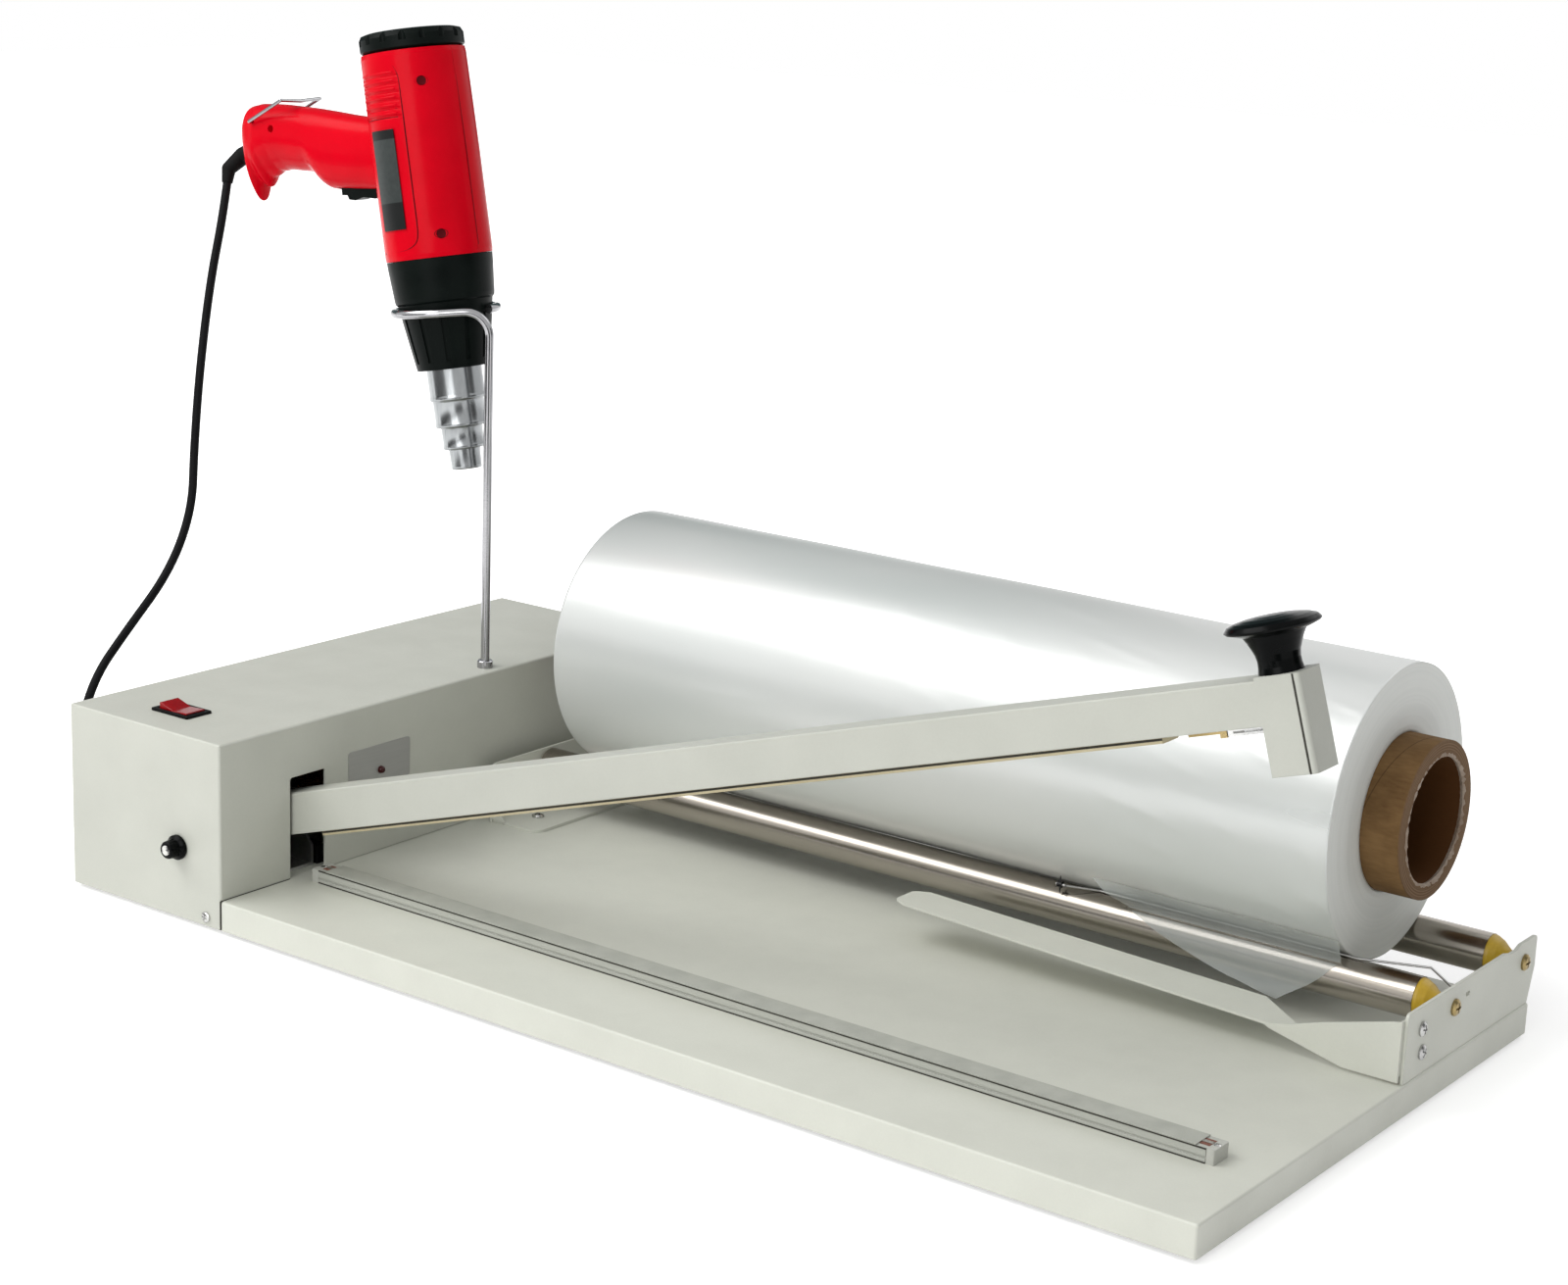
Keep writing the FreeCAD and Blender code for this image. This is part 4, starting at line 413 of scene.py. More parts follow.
def screw_tree(material):
    """Domed heads with a cross recess, one at each point, facing along its "out"."""
    dome_share, bar_length, bar_width, bar_lift = 0.55, 1.25, 0.26, 0.55
    tree, start, ids = geometry_tree(
        "pan head screws", Head_radius=0.0042, Head_height=0.0024, Turn_seed=3
    )
    head = put(
        tree, "GeometryNodeMeshCylinder", fill_type="TRIANGLE_FAN", Vertices=24, Side_Segments=2,
        Fill_Segments=4, Radius=start["Head radius"], Depth=start["Head height"],
    ).outputs["Mesh"]
    at = put(tree, "GeometryNodeInputPosition").outputs[0]
    part = put(tree, "ShaderNodeSeparateXYZ", Vector=at).outputs
    flat = put(tree, "ShaderNodeCombineXYZ", X=part["X"], Y=part["Y"]).outputs[0]
    out = put(tree, "ShaderNodeVectorMath", operation="LENGTH", at={0: flat}).outputs["Value"]
    ratio = maths(tree, "DIVIDE", out, start["Head radius"])
    steep = maths(tree, "POWER", ratio, 3.0)
    fall = maths(tree, "MULTIPLY", steep, start["Head height"])
    above = put(
        tree, "FunctionNodeCompare", data_type="FLOAT", operation="GREATER_THAN",
        at={0: part["Z"], 1: 0.0},
    ).outputs[0]
    drop = maths(tree, "MULTIPLY", fall, -dome_share)
    down = put(tree, "ShaderNodeCombineXYZ", Z=drop).outputs[0]
    domed = put(tree, "GeometryNodeSetPosition", Geometry=head, Selection=above, Offset=down).outputs[0]
    long = maths(tree, "MULTIPLY", start["Head radius"], bar_length)
    thin = maths(tree, "MULTIPLY", start["Head radius"], bar_width)
    one = put(tree, "ShaderNodeCombineXYZ", X=long, Y=thin, Z=start["Head height"]).outputs[0]
    two = put(tree, "ShaderNodeCombineXYZ", X=thin, Y=long, Z=start["Head height"]).outputs[0]
    bars = [put(tree, "GeometryNodeMeshCube", Size=size).outputs["Mesh"] for size in (one, two)]
    cross = put(tree, "GeometryNodeMeshBoolean", operation="UNION")
    for bar in bars:
        tree.links.new(bar, cross.inputs["Mesh 2"])
    lift = maths(tree, "MULTIPLY", start["Head height"], bar_lift)
    raised = put(tree, "ShaderNodeCombineXYZ", Z=lift).outputs[0]
    cutter = put(
        tree, "GeometryNodeTransform", Geometry=cross.outputs[0], Translation=raised
    ).outputs[0]
    cut = put(tree, "GeometryNodeMeshBoolean", operation="DIFFERENCE", at={"Mesh 1": domed})
    tree.links.new(cutter, cut.inputs["Mesh 2"])
    half = maths(tree, "MULTIPLY", start["Head height"], 0.5)
    stand = put(tree, "ShaderNodeCombineXYZ", Z=half).outputs[0]
    whole = put(tree, "GeometryNodeTransform", Geometry=cut.outputs[0], Translation=stand).outputs[0]
    facing = put(
        tree, "GeometryNodeInputNamedAttribute", data_type="FLOAT_VECTOR", Name="out"
    ).outputs[0]
    turned = put(tree, "FunctionNodeAlignRotationToVector", axis="Z", Vector=facing).outputs[0]
    random_turn = put(
        tree, "FunctionNodeRandomValue", data_type="FLOAT", at={2: 0.0, 3: 1.5, 8: start["Turn seed"]}
    ).outputs[1]
    spin = put(tree, "FunctionNodeAxisAngleToRotation", Axis=(0, 0, 1), Angle=random_turn).outputs[0]
    placed = put(
        tree, "FunctionNodeRotateRotation", rotation_space="LOCAL",
        at={"Rotation": turned, "Rotate By": spin},
    ).outputs[0]
    copies = put(
        tree, "GeometryNodeInstanceOnPoints", Points=start["Geometry"], Instance=whole, Rotation=placed
    ).outputs[0]
    finish_tree(tree, copies, material)
    return tree, ids


def screws(name, places, finish, radius, height):
    """Heads at these places, each given as a point and the way that it faces."""
    points = bpy.data.meshes.new(name)
    points.from_pydata([place for place, way in places], [], [])
    out = points.attributes.new("out", "FLOAT_VECTOR", "POINT")
    for index, (place, way) in enumerate(places):
        out.data[index].vector = way
    tree, ids = screw_tree(finish)
    return grown(points, tree, ids, Head_radius=radius, Head_height=height)


def finished(name, shape):
    """The plain mesh of a shape that was built point by point. The shape itself goes."""
    mesh = bpy.data.meshes.new(name)
    shape.to_mesh(mesh)
    shape.free()
    return mesh


def merged(name, meshes):
    """Joins plain meshes into one; their own finishes stay."""
    whole = bmesh.new()
    finishes = []
    for mesh in meshes:
        first = len(whole.faces)
        whole.from_mesh(mesh)
        whole.faces.ensure_lookup_table()
        shift = len(finishes)
        for face in whole.faces[first:]:
            face.material_index += shift
        finishes += list(mesh.materials)
    mesh = finished(name, whole)
    for finish in finishes:
        mesh.materials.append(finish)
    return mesh


bracket_right, foot_top = 0.468061, 0.024
front_screw = [((-0.233539, -0.209, 0.009), (0, -1, 0))]
foot_screws = [((x, y, foot_top), (0, 0, 1)) for x in (-0.187839, 0.447361) for y in (0.0509, 0.167)]
separator_screws = [((bracket_right, y, z), (1, 0, 0)) for y, z in ((0.041, 0.0496), (0.043, 0.0353))]
screw_heads = merged("screw_heads", [
    screws("front", front_screw, plated, radius=0.0034, height=0.002),
    screws("foot", foot_screws, plated, radius=0.0042, height=0.0024),
    screws("separator", separator_screws, plated, radius=0.0044, height=0.0026),
])
add_piece("screw_heads", screw_heads, "base", None, "screw_steel", "sheet_screws")
dress(brass, "axle_screws", "pad_clip")
dress(plated, "pivot_pin", "pad_tensioner", "return_spring")

# ---- Controls
# A rocker switch with a red lens key in a black bezel, a black timer knob with a pressed-in cap
# blotched pale on black, its own pale colour with a painted glint, and a bare brushed plate with a
# small red neon lamp, dark while it is off.
black_nylon = surface(
    "black nylon", (0.002, 0.0025, 0.0025), (0.006, 0.0065, 0.0065), (0.38, 0.52), 900.0, 0.00004,
    edge=0.0005, Specular_IOR_Level=0.07,
)
dress(black_nylon, "rocker_bezel", "cable_gland", "microswitch", "potentiometer")
red_lens = surface(
    "red lens", (0.48, 0.004, 0.008), (0.22, 0.001, 0.004), (0.10, 0.16), 500.0, 0.00001, edge=0.0005,
    Transmission_Weight=0.15, Specular_IOR_Level=0.3,
)
dress(red_lens, "rocker_key")
neon = surface(
    "neon lamp", (0.055, 0.002, 0.002), (0.022, 0.001, 0.001), (0.12, 0.2), 900.0, 0.00001,
    Specular_IOR_Level=0.25,
)
dress(neon, "lamp")
knob_gloss = surface(
    "knob gloss", (0.0008, 0.0012, 0.0012), (0.002, 0.0026, 0.0026), (0.16, 0.26), 500.0, 0.00002,
    edge=0.0006, Specular_IOR_Level=0.06,
)
dress(knob_gloss, "arm_knob", "timer_knob")
# Fine pale blotches on black: partly the cap's own pale colour, partly a painted glint.
cap_with_painted_glint = surface(
    "pale cap with painted glint", (0.74, 0.74, 0.70), (0.02, 0.02, 0.02), (0.2, 0.3), 9000.0, 0.00002,
    edge=0.0004, spread=(0.66, 0.74),
)
dress(cap_with_painted_glint, "timer_knob_cap")
plate_metal = surface(
    "brushed plate", (0.40, 0.40, 0.385), (0.34, 0.34, 0.33), (0.4, 0.5), 900.0, 0.00002, (1, 0.05, 1),
    edge=0.0003, Metallic=0.35,
)
dress(plate_metal, "lamp_plate")

# ---- Inside the housing
# The transformer's stack of steel plates and its enamelled copper winding, the timer's circuit
# board with its parts, and the nylon washers of the arm's bearing. The rail's end blocks are of
# the same white nylon.
core_steel = surface(
    "stacked plates", (0.20, 0.20, 0.21), (0.10, 0.10, 0.11), (0.4, 0.6), 1500.0, 0.00008,
    (0.02, 1, 0.02), Metallic=0.8,
)
dress(core_steel, "transformer_core")
enamelled = surface(
    "enamelled wire", (0.45, 0.19, 0.06), (0.26, 0.09, 0.025), (0.2, 0.35), 900.0, 0.00005, Metallic=0.7
)
dress(enamelled, "transformer_coil")
board_green = surface(
    "board lacquer", (0.02, 0.16, 0.06), (0.012, 0.09, 0.035), (0.25, 0.35), 600.0, 0.00003, edge=0.0003
)
dress(board_green, "timer_board")
white_nylon = surface(
    "white nylon", (0.50, 0.505, 0.46), (0.42, 0.425, 0.39), (0.4, 0.5), 500.0, 0.00003, edge=0.0004
)
dress(white_nylon, "rail_blocks", "pivot_washers")


def winding_tree(material):
    """Rounded oblong turns of wire, one above the other, a hair apart."""
    pitch_share = 2.05
    tree, start, ids = geometry_tree(
        "winding", Wire=0.0007, Across=0.049, Along=0.068, Corner=0.005, Turns=22
    )
    loop = put(
        tree, "GeometryNodeCurvePrimitiveQuadrilateral", Width=start["Across"], Height=start["Along"]
    ).outputs[0]
    round_loop = put(
        tree, "GeometryNodeFilletCurve", mode="POLY", Curve=loop, Count=5, Radius=start["Corner"]
    ).outputs[0]
    wire = put(tree, "GeometryNodeCurvePrimitiveCircle", Resolution=8, Radius=start["Wire"]).outputs[0]
    parts = {"Curve": round_loop, "Profile Curve": wire}
    turn = put(tree, "GeometryNodeCurveToMesh", at=parts).outputs[0]
    pitch = maths(tree, "MULTIPLY", start["Wire"], pitch_share)
    step = put(tree, "ShaderNodeCombineXYZ", Z=pitch).outputs[0]
    line = put(tree, "GeometryNodeMeshLine", mode="OFFSET", Count=start["Turns"], Offset=step)
    stacked = put(
        tree, "GeometryNodeInstanceOnPoints", Points=line.outputs[0], Instance=turn
    ).outputs[0]
    finish_tree(tree, stacked, material)
    return tree, ids


tree, ids = winding_tree(enamelled)
low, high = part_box("transformer_coil")
turn_pitch, sunk_in, end_space, first_turn = 0.001435, 0.0016, 0.002, 0.0018
winding = grown(
    bpy.data.meshes.new("winding"), tree, ids, Across=high.x - low.x - sunk_in, Along=high.y - low.y,
    Turns=int((high.z - low.z - end_space) / turn_pitch),
)
winding.transform(
    Matrix.Translation(((low.x + high.x) / 2, (low.y + high.y) / 2, low.z + first_turn))
)
add_piece("coil_winding", winding, "base", None, "winding")

# ---- Sealing arm and rail
# The arm's channel carries a tan silicone pad held by a brass clip and a slotted tensioner. On
# the rail a nichrome ribbon lies on red silicone under a strip of coated cloth.
tan_silicone = surface(
    "tan silicone", (0.60, 0.53, 0.35), (0.48, 0.41, 0.25), (0.5, 0.6), 500.0, 0.00004, edge=0.0005
)
dress(tan_silicone, "arm_pad")
red_silicone = surface(
    "red silicone", (0.21, 0.08, 0.05), (0.15, 0.05, 0.03), (0.5, 0.6), 700.0, 0.00003
)
dress(red_silicone, "rail_rubber")
rail_metal = surface(
    "brushed rail", (0.50, 0.51, 0.46), (0.42, 0.43, 0.39), (0.35, 0.5), 800.0, 0.00002,
    (0.05, 1, 1), edge=0.0005, Metallic=0.15,
)
dress(rail_metal, "seal_rail")
ribbon = surface(
    "heating ribbon", (0.42, 0.40, 0.37), (0.28, 0.26, 0.24), (0.2, 0.35), 900.0, 0.00001,
    (0.1, 1, 1), Metallic=1.0,
)
dress(ribbon, "seal_ribbon")
coated_cloth = surface(
    "coated cloth", (0.42, 0.43, 0.38), (0.34, 0.35, 0.31), (0.32, 0.45), 2200.0, 0.00005, edge=0.0003
)
dress(coated_cloth, "ribbon_cover")

# Fine dark lines, mostly painted shadow: in the gap at the tape's glued front edge, whose glue is
# dark too, in the joints of rail and housing with the base, in the open edge of the fold at the
# arm's end and in the joint of arm and pad.
shadow_gap = surface(
    "painted shadow line", (0.035, 0.034, 0.028), (0.06, 0.058, 0.05), (0.6, 0.8), 900.0, 0.00002,
    Specular_IOR_Level=0.1,
)


def straight_lines(name, lines, thickness):
    """Thin square strips from point to point, as one mesh."""
    strips = bmesh.new()
    for start, end in lines:
        start, end = Vector(start), Vector(end)
        turn = (end - start).to_track_quat("Z", "Y").to_matrix().to_4x4()
        length = (end - start).length
        made = bmesh.ops.create_cube(strips, size=1.0)["verts"]
        bmesh.ops.scale(strips, vec=(thickness, thickness, length), verts=made)
        bmesh.ops.transform(strips, matrix=Matrix.Translation((start + end) / 2) @ turn, verts=made)
    return finished(name, strips)


low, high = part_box("seal_rail")
tape_edge, rail_foot = high.z - 0.0003, low.z + 0.0004
# Painted shadow along the tape's front edge and the rail's foot.
rail_lines = straight_lines(
    "rail_lines", [((low.x, low.y, z), (high.x, low.y, z)) for z in (tape_edge, rail_foot)],
    thickness=0.0007,
)
add_piece("rail_lines", rail_lines, "base", shadow_gap, "tape")
housing_right, base_front, base_foot, base_top = -0.220539, -0.20895, 0.0035, 0.022
on_top_from, on_top_to = -0.2085, -0.1500
# Painted shadow in the housing's joint with the base.
housing_seams = straight_lines(
    "housing_seams",
    [
        ((housing_right, base_front, base_foot), (housing_right, base_front, base_top)),
        ((housing_right, on_top_from, base_top), (housing_right, on_top_to, base_top)),
    ],
    thickness=0.0008,
)
add_piece("housing_seams", housing_seams, "base", shadow_gap, "tape")
arm_hinge, arm_lift = Vector((-0.275539, -0.147, 0.049)), math.radians(17.14)
end_fold, end_top, end_foot = 0.7774, 0.0101, -0.0398
pad_start, pad_end, pad_top = 0.0757, 0.6962, -0.0155


def on_arm(along, above, back):
    """A point on the raised arm: along and above its hinge line, and back from its front face."""
    return arm_hinge + Vector((
        along * math.cos(arm_lift) - above * math.sin(arm_lift), back,
        along * math.sin(arm_lift) + above * math.cos(arm_lift),
    ))


# Painted shadow in the open edge of the arm's end fold and in the joint of arm and pad.
fold_ends = [on_arm(end_fold, above, back=0.0005) for above in (end_foot, end_top)]
pad_ends = [on_arm(along, pad_top, back=0.0044) for along in (pad_start, pad_end)]
arm_lines = merged("arm_lines", [
    straight_lines("fold", [fold_ends], thickness=0.0011),
    straight_lines("pad", [pad_ends], thickness=0.0012),
])
add_piece("arm_lines", arm_lines, "sealing_arm", shadow_gap, "tape")

# Small sunk screws hold the rail's two end blocks.
low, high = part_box("rail_blocks")
block_middle, sunk_head = (low.y + high.y) / 2, high.z - 0.0004
block_places = [((x, block_middle, sunk_head), (0, 0, 1)) for x in (low.x + 0.003, high.x - 0.0025)]
block_screws = screws("block_screws", block_places, plated, radius=0.0021, height=0.0010)
add_piece("block_screws", block_screws, "base", None, "screw_steel")

# ---- Rollers
# Two ground steel tubes on moulded yellow end plugs; the brass screws are their fixed axles.
ground_steel = surface(
    "ground steel", (0.46, 0.43, 0.385), (0.34, 0.31, 0.27), (0.16, 0.26), 900.0, 0.000015,
    (0.01, 1, 1), spread=(0.3, 0.9), Metallic=1.0,
)
dress(ground_steel, "front_roller", "rear_roller")
yellow_nylon = surface(
    "yellow nylon", (0.66, 0.45, 0.03), (0.48, 0.30, 0.015), (0.35, 0.45), 500.0, 0.00003, edge=0.0005
)
dress(yellow_nylon, "front_roller_plugs", "rear_roller_plugs")

# ---- Perforator
# A thin spiked wheel of dark spring steel that pricks vent holes in the film. It runs on the end
# of a bright spring wire that is hooked into the right bracket.
spiked_steel = surface(
    "spiked steel", (0.012, 0.012, 0.012), (0.03, 0.03, 0.03), (0.3, 0.45), 900.0, 0.00002, Metallic=0.5
)
dress(spiked_steel, "perforator_wheel")
spring_wire = surface(
    "spring wire", (0.46, 0.46, 0.45), (0.30, 0.30, 0.30), (0.25, 0.4), 900.0, 0.00002, Metallic=1.0
)
dress(spring_wire, "perforator_arm")

# ---- Film roll
# Shrink film wound on a cardboard core. It is slightly slack towards its right end, so the
# gloss breaks there in slanting wrinkles, and the wound edges stand a hair out of line.
axis_y, axis_z = 0.13185, 0.13936


def round_axis(tree, at):
    """Where a place on the roll lies: along, round and out from the axis, and its ring as a vector."""
    part = put(tree, "ShaderNodeSeparateXYZ", Vector=at).outputs
    back = maths(tree, "SUBTRACT", part["Y"], axis_y)
    up = maths(tree, "SUBTRACT", part["Z"], axis_z)
    flat = put(tree, "ShaderNodeCombineXYZ", X=back, Y=up).outputs[0]
    out = put(tree, "ShaderNodeVectorMath", operation="LENGTH", at={0: flat}).outputs["Value"]
    rings = put(tree, "ShaderNodeCombineXYZ", X=out).outputs[0]
    return part["X"], maths(tree, "ARCTAN2", up, back), out, rings


def ring_mesh(name, rows, smooth=True):
    """A closed skin from rings of points: each ring joins the next and the last joins the first."""
    skin = bmesh.new()
    rings = [[skin.verts.new(point) for point in row] for row in rows]
    for first, second in zip(rings, rings[1:] + rings[:1]):
        for k in range(len(first)):
            after = (k + 1) % len(first)
            skin.faces.new((first[k], first[after], second[after], second[k]))
    bmesh.ops.recalc_face_normals(skin, faces=skin.faces)
    for face in skin.faces:
        face.smooth = smooth
    return finished(name, skin)


# The skin has a soft haze and fine streaks; the faces show the wound layers as rings.
film_wound, tree, shader = new_finish("wound film")
at = put(tree, "ShaderNodeTexCoord").outputs["Object"]
rings = round_axis(tree, at)[3]
layers = put(tree, "ShaderNodeTexNoise", Vector=rings, Scale=420.0, Detail=4.0).outputs["Fac"]
wide_rings = put(tree, "ShaderNodeTexNoise", Vector=rings, Scale=60.0, Detail=2.0).outputs["Fac"]
facing = put(tree, "ShaderNodeNewGeometry").outputs["True Normal"]
to_end = put(tree, "ShaderNodeSeparateXYZ", Vector=facing).outputs["X"]
end_face = maths(tree, "GREATER_THAN", maths(tree, "ABSOLUTE", to_end), 0.7)
skin = put(
    tree, "ShaderNodeMapping", Vector=at, Scale=(7, 26, 26), Rotation=(0, 0.3, 0.3)
).outputs["Vector"]
haze = put(tree, "ShaderNodeTexNoise", Vector=skin, Scale=0.6, Detail=1.5, Roughness=0.4).outputs["Fac"]
haze_share = ranged(tree, haze, 0.25, 0.8, interpolation_type="SMOOTHSTEP")
side = mixed(tree, haze_share, (0.560, 0.588, 0.570, 1), (0.622, 0.632, 0.614, 1))
ring_share = maths(tree, "MULTIPLY_ADD", layers, 0.5, wide_rings)
ring_mix = ranged(tree, ring_share, 0.5, 1.0)
end_colour = mixed(tree, ring_mix, (0.72, 0.735, 0.70, 1), (0.60, 0.625, 0.595, 1))
colour = mixed(tree, end_face, side, end_colour)
tree.links.new(colour, shader.inputs["Base Color"])
fine = put(
    tree, "ShaderNodeMapping", Vector=at, Scale=(12, 260, 260), Rotation=(0, 0.0, 0.06)
).outputs["Vector"]
streaks = put(tree, "ShaderNodeTexNoise", Vector=fine, Scale=1.0, Detail=3.0).outputs["Fac"]
height = put(
    tree, "ShaderNodeMix", data_type="FLOAT", at={0: end_face, 2: streaks, 3: layers}
).outputs[0]
relief = put(tree, "ShaderNodeBump", Strength=0.5, Distance=0.00007, Height=height).outputs["Normal"]
tree.links.new(relief, shader.inputs["Normal"])
gloss = ranged(tree, haze, 0.2, 0.8, 0.27, 0.38, interpolation_type="SMOOTHSTEP")
rough = maths(tree, "MULTIPLY_ADD", end_face, 0.4, gloss)
tree.links.new(rough, shader.inputs["Roughness"])
shader.inputs["IOR"].default_value = 2.7
shader.inputs["Subsurface Weight"].default_value = 0.08
shader.inputs["Subsurface Radius"].default_value = (0.004, 0.004, 0.004)

low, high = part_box("film_roll")
left_end, right_end = low.x, high.x
film_radius, bore = 0.08885, 0.0475
slack_from, rim_width, ripple_height, fold_height, skin_depth = 0.05, 0.006, 0.0005, 0.0016, 0.0006


def film_bulge(x, angle):
    """How far the skin stands from a true cylinder: folds near the right end, ripples elsewhere."""
    slack = max(0.0, (x - slack_from) / (right_end - slack_from))
    fold = noise.noise(Vector((x * 30 + angle * 5.0, angle * 2.2 - x * 9, 1.7)))
    ripple = noise.noise(Vector((x * 9, angle * 1.2, 4.0)))
    rim = min(1.0, (right_end - x) / rim_width, (x - left_end) / rim_width)
    return (ripple_height * ripple + fold_height * slack * max(0.0, fold) ** 2) * rim - skin_depth


# The roll's outline goes up the left face, along the skin and down the right face. On the faces
# each wound layer ends at a slightly different place.
edge_round, end_inset, layer_step = 0.0016, 0.0004, 0.0003
around, along_skin, face_rings = 240, 150, 26
random.seed(11)
outline = []
for k in range(face_rings + 1):
    radius = bore + (film_radius - edge_round - bore) * k / face_rings
    outline.append((left_end + end_inset + layer_step * random.random(), radius))
outline.append((left_end + end_inset, film_radius - skin_depth))
for k in range(along_skin + 1):
    x = left_end + edge_round + (right_end - left_end - 2 * edge_round) * k / along_skin
    outline.append((x, film_radius))
outline.append((right_end - end_inset, film_radius - skin_depth))
for k in range(face_rings + 1):
    radius = film_radius - edge_round - (film_radius - edge_round - bore) * k / face_rings
    outline.append((right_end - end_inset - layer_step * random.random(), radius))
rows = []
for x, radius in outline:
    row = []
    for k in range(around):
        angle = 2 * math.pi * k / around
        reach = radius
        if radius == film_radius:
            reach += film_bulge(x, math.sin(angle) * 1.6 + math.cos(angle) * 0.9)
        row.append((x, axis_y + reach * math.cos(angle), axis_z + reach * math.sin(angle)))
    rows.append(row)
film_mesh = ring_mesh("film_on_roll", rows)
add_piece("film_on_roll", film_mesh, "roll", film_wound, "film", "film_roll")

# ---- Film core
# Spirally wound brown board, 3 in bore: a seam line runs round it, its cut end is paler and its
# bore darker.
board, tree, shader = new_finish("core board")
at = put(tree, "ShaderNodeTexCoord").outputs["Object"]
along, turn, out, rings = round_axis(tree, at)
strip_pitch, pitch_per_radian, seam_width = 0.0723, 0.0115, 0.0009
wrap = maths(tree, "MULTIPLY_ADD", turn, pitch_per_radian, along)
gap = maths(tree, "ABSOLUTE", maths(tree, "MODULO", wrap, strip_pitch))
seam = ranged(tree, gap, 0.0, seam_width, 1.0, 0.0)
fibres = put(tree, "ShaderNodeMapping", Vector=at, Scale=(140, 500, 500)).outputs["Vector"]
fibre = put(tree, "ShaderNodeTexNoise", Vector=fibres, Scale=1.0, Detail=5.0).outputs["Fac"]
stain = put(tree, "ShaderNodeTexNoise", Vector=at, Scale=38.0, Detail=3.0).outputs["Fac"]
tone = maths(tree, "MULTIPLY_ADD", fibre, 0.5, stain)
share = ranged(tree, tone, 0.5, 1.0)
outer = mixed(tree, share, (0.205, 0.118, 0.047, 1), (0.110, 0.058, 0.020, 1))
lined = mixed(tree, seam, outer, (0.05, 0.026, 0.01, 1))
low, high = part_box("film_core")
cut_depth, bore_edge = 0.0009, 0.0386
reach = maths(tree, "ABSOLUTE", maths(tree, "SUBTRACT", along, (low.x + high.x) / 2))
at_end = maths(tree, "GREATER_THAN", reach, (high.x - low.x) / 2 - cut_depth)
plies = put(tree, "ShaderNodeTexNoise", Vector=rings, Scale=1300.0, Detail=2.0).outputs["Fac"]
ply_share = ranged(tree, plies, 0.35, 0.65)
cut_end = mixed(tree, ply_share, (0.215, 0.135, 0.075, 1), (0.105, 0.058, 0.028, 1))
with_end = mixed(tree, at_end, lined, cut_end)
inside = maths(tree, "LESS_THAN", out, bore_edge)
colour = mixed(tree, inside, with_end, (0.090, 0.034, 0.008, 1))
tree.links.new(colour, shader.inputs["Base Color"])
shader.inputs["Roughness"].default_value = 0.8
shader.inputs["Specular IOR Level"].default_value = 0.2
relief = put(tree, "ShaderNodeBump", Strength=1.0, Distance=0.0002, Height=tone).outputs["Normal"]
tree.links.new(relief, shader.inputs["Normal"])
dress(board, "film_core")

# The cut end of the board is frayed: a thin ragged lip stands round the bore.
lip_facets, fray_height, lip_foot = 180, 0.0015, high.x - 0.0006
sections = []
for k in range(lip_facets):
    angle = 2 * math.pi * k / lip_facets
    up, back = math.sin(angle), math.cos(angle)
    fray = fray_height * noise.noise(Vector((back * 14, up * 14, 0.3)))
    sections.append([
        (lip_foot + out_by, axis_y + radius * back, axis_z + radius * up)
        for radius, out_by in (
            (0.0381, -0.002),
            (0.0377 - abs(fray) * 0.8, 0.0),
            (0.0383 + fray, 0.0012 + fray),
            (0.0396 + fray, 0.0004),
        )
    ])
frayed_board = surface(
    "frayed board", (0.46, 0.38, 0.31), (0.24, 0.17, 0.12), (0.8, 0.9), 1500.0, 0.0002
)
lip_mesh = ring_mesh("core_lip", list(zip(*sections)), smooth=False)
add_piece("core_lip", lip_mesh, "roll", frayed_board, "cardboard")

# ---- Loose film end
# The film's cut corner comes off the roll, lies over the front roller and hangs down before it.
# It is clear, slightly milky film, so the roller shows through it.
clear_film = surface(
    "clear film", (0.50, 0.53, 0.51), (0.40, 0.43, 0.42), (0.14, 0.28), 130.0, 0.0004, (0.3, 1, 1),
    Alpha=0.5, Coat_Weight=0.3,
)
roller_y, roller_z, film_lie = 0.0834, 0.05, 0.0129

# Each row of the film: its depth and height, and its left and right edge.
drape = [(0.0683, 0.0768, 0.2385, 0.4012), (0.0722, 0.0692, 0.2475, 0.4010)]
for turn, left, right in (
    (119.5, 0.2585, 0.3998),
    (135, 0.2645, 0.3978),
    (150, 0.2725, 0.3953),
    (165, 0.2805, 0.3928),
    (180, 0.2900, 0.3895),
):
    angle = math.radians(turn)
    drape.append((
        roller_y + film_lie * math.cos(angle), roller_z + film_lie * math.sin(angle), left, right
    ))
drape += [
    (0.0702, 0.0450, 0.3055, 0.3835),
    (0.0690, 0.0405, 0.3225, 0.3770),
    (0.0675, 0.0365, 0.3445, 0.3710),
    (0.0664, 0.0332, 0.3640, 0.3665),
]

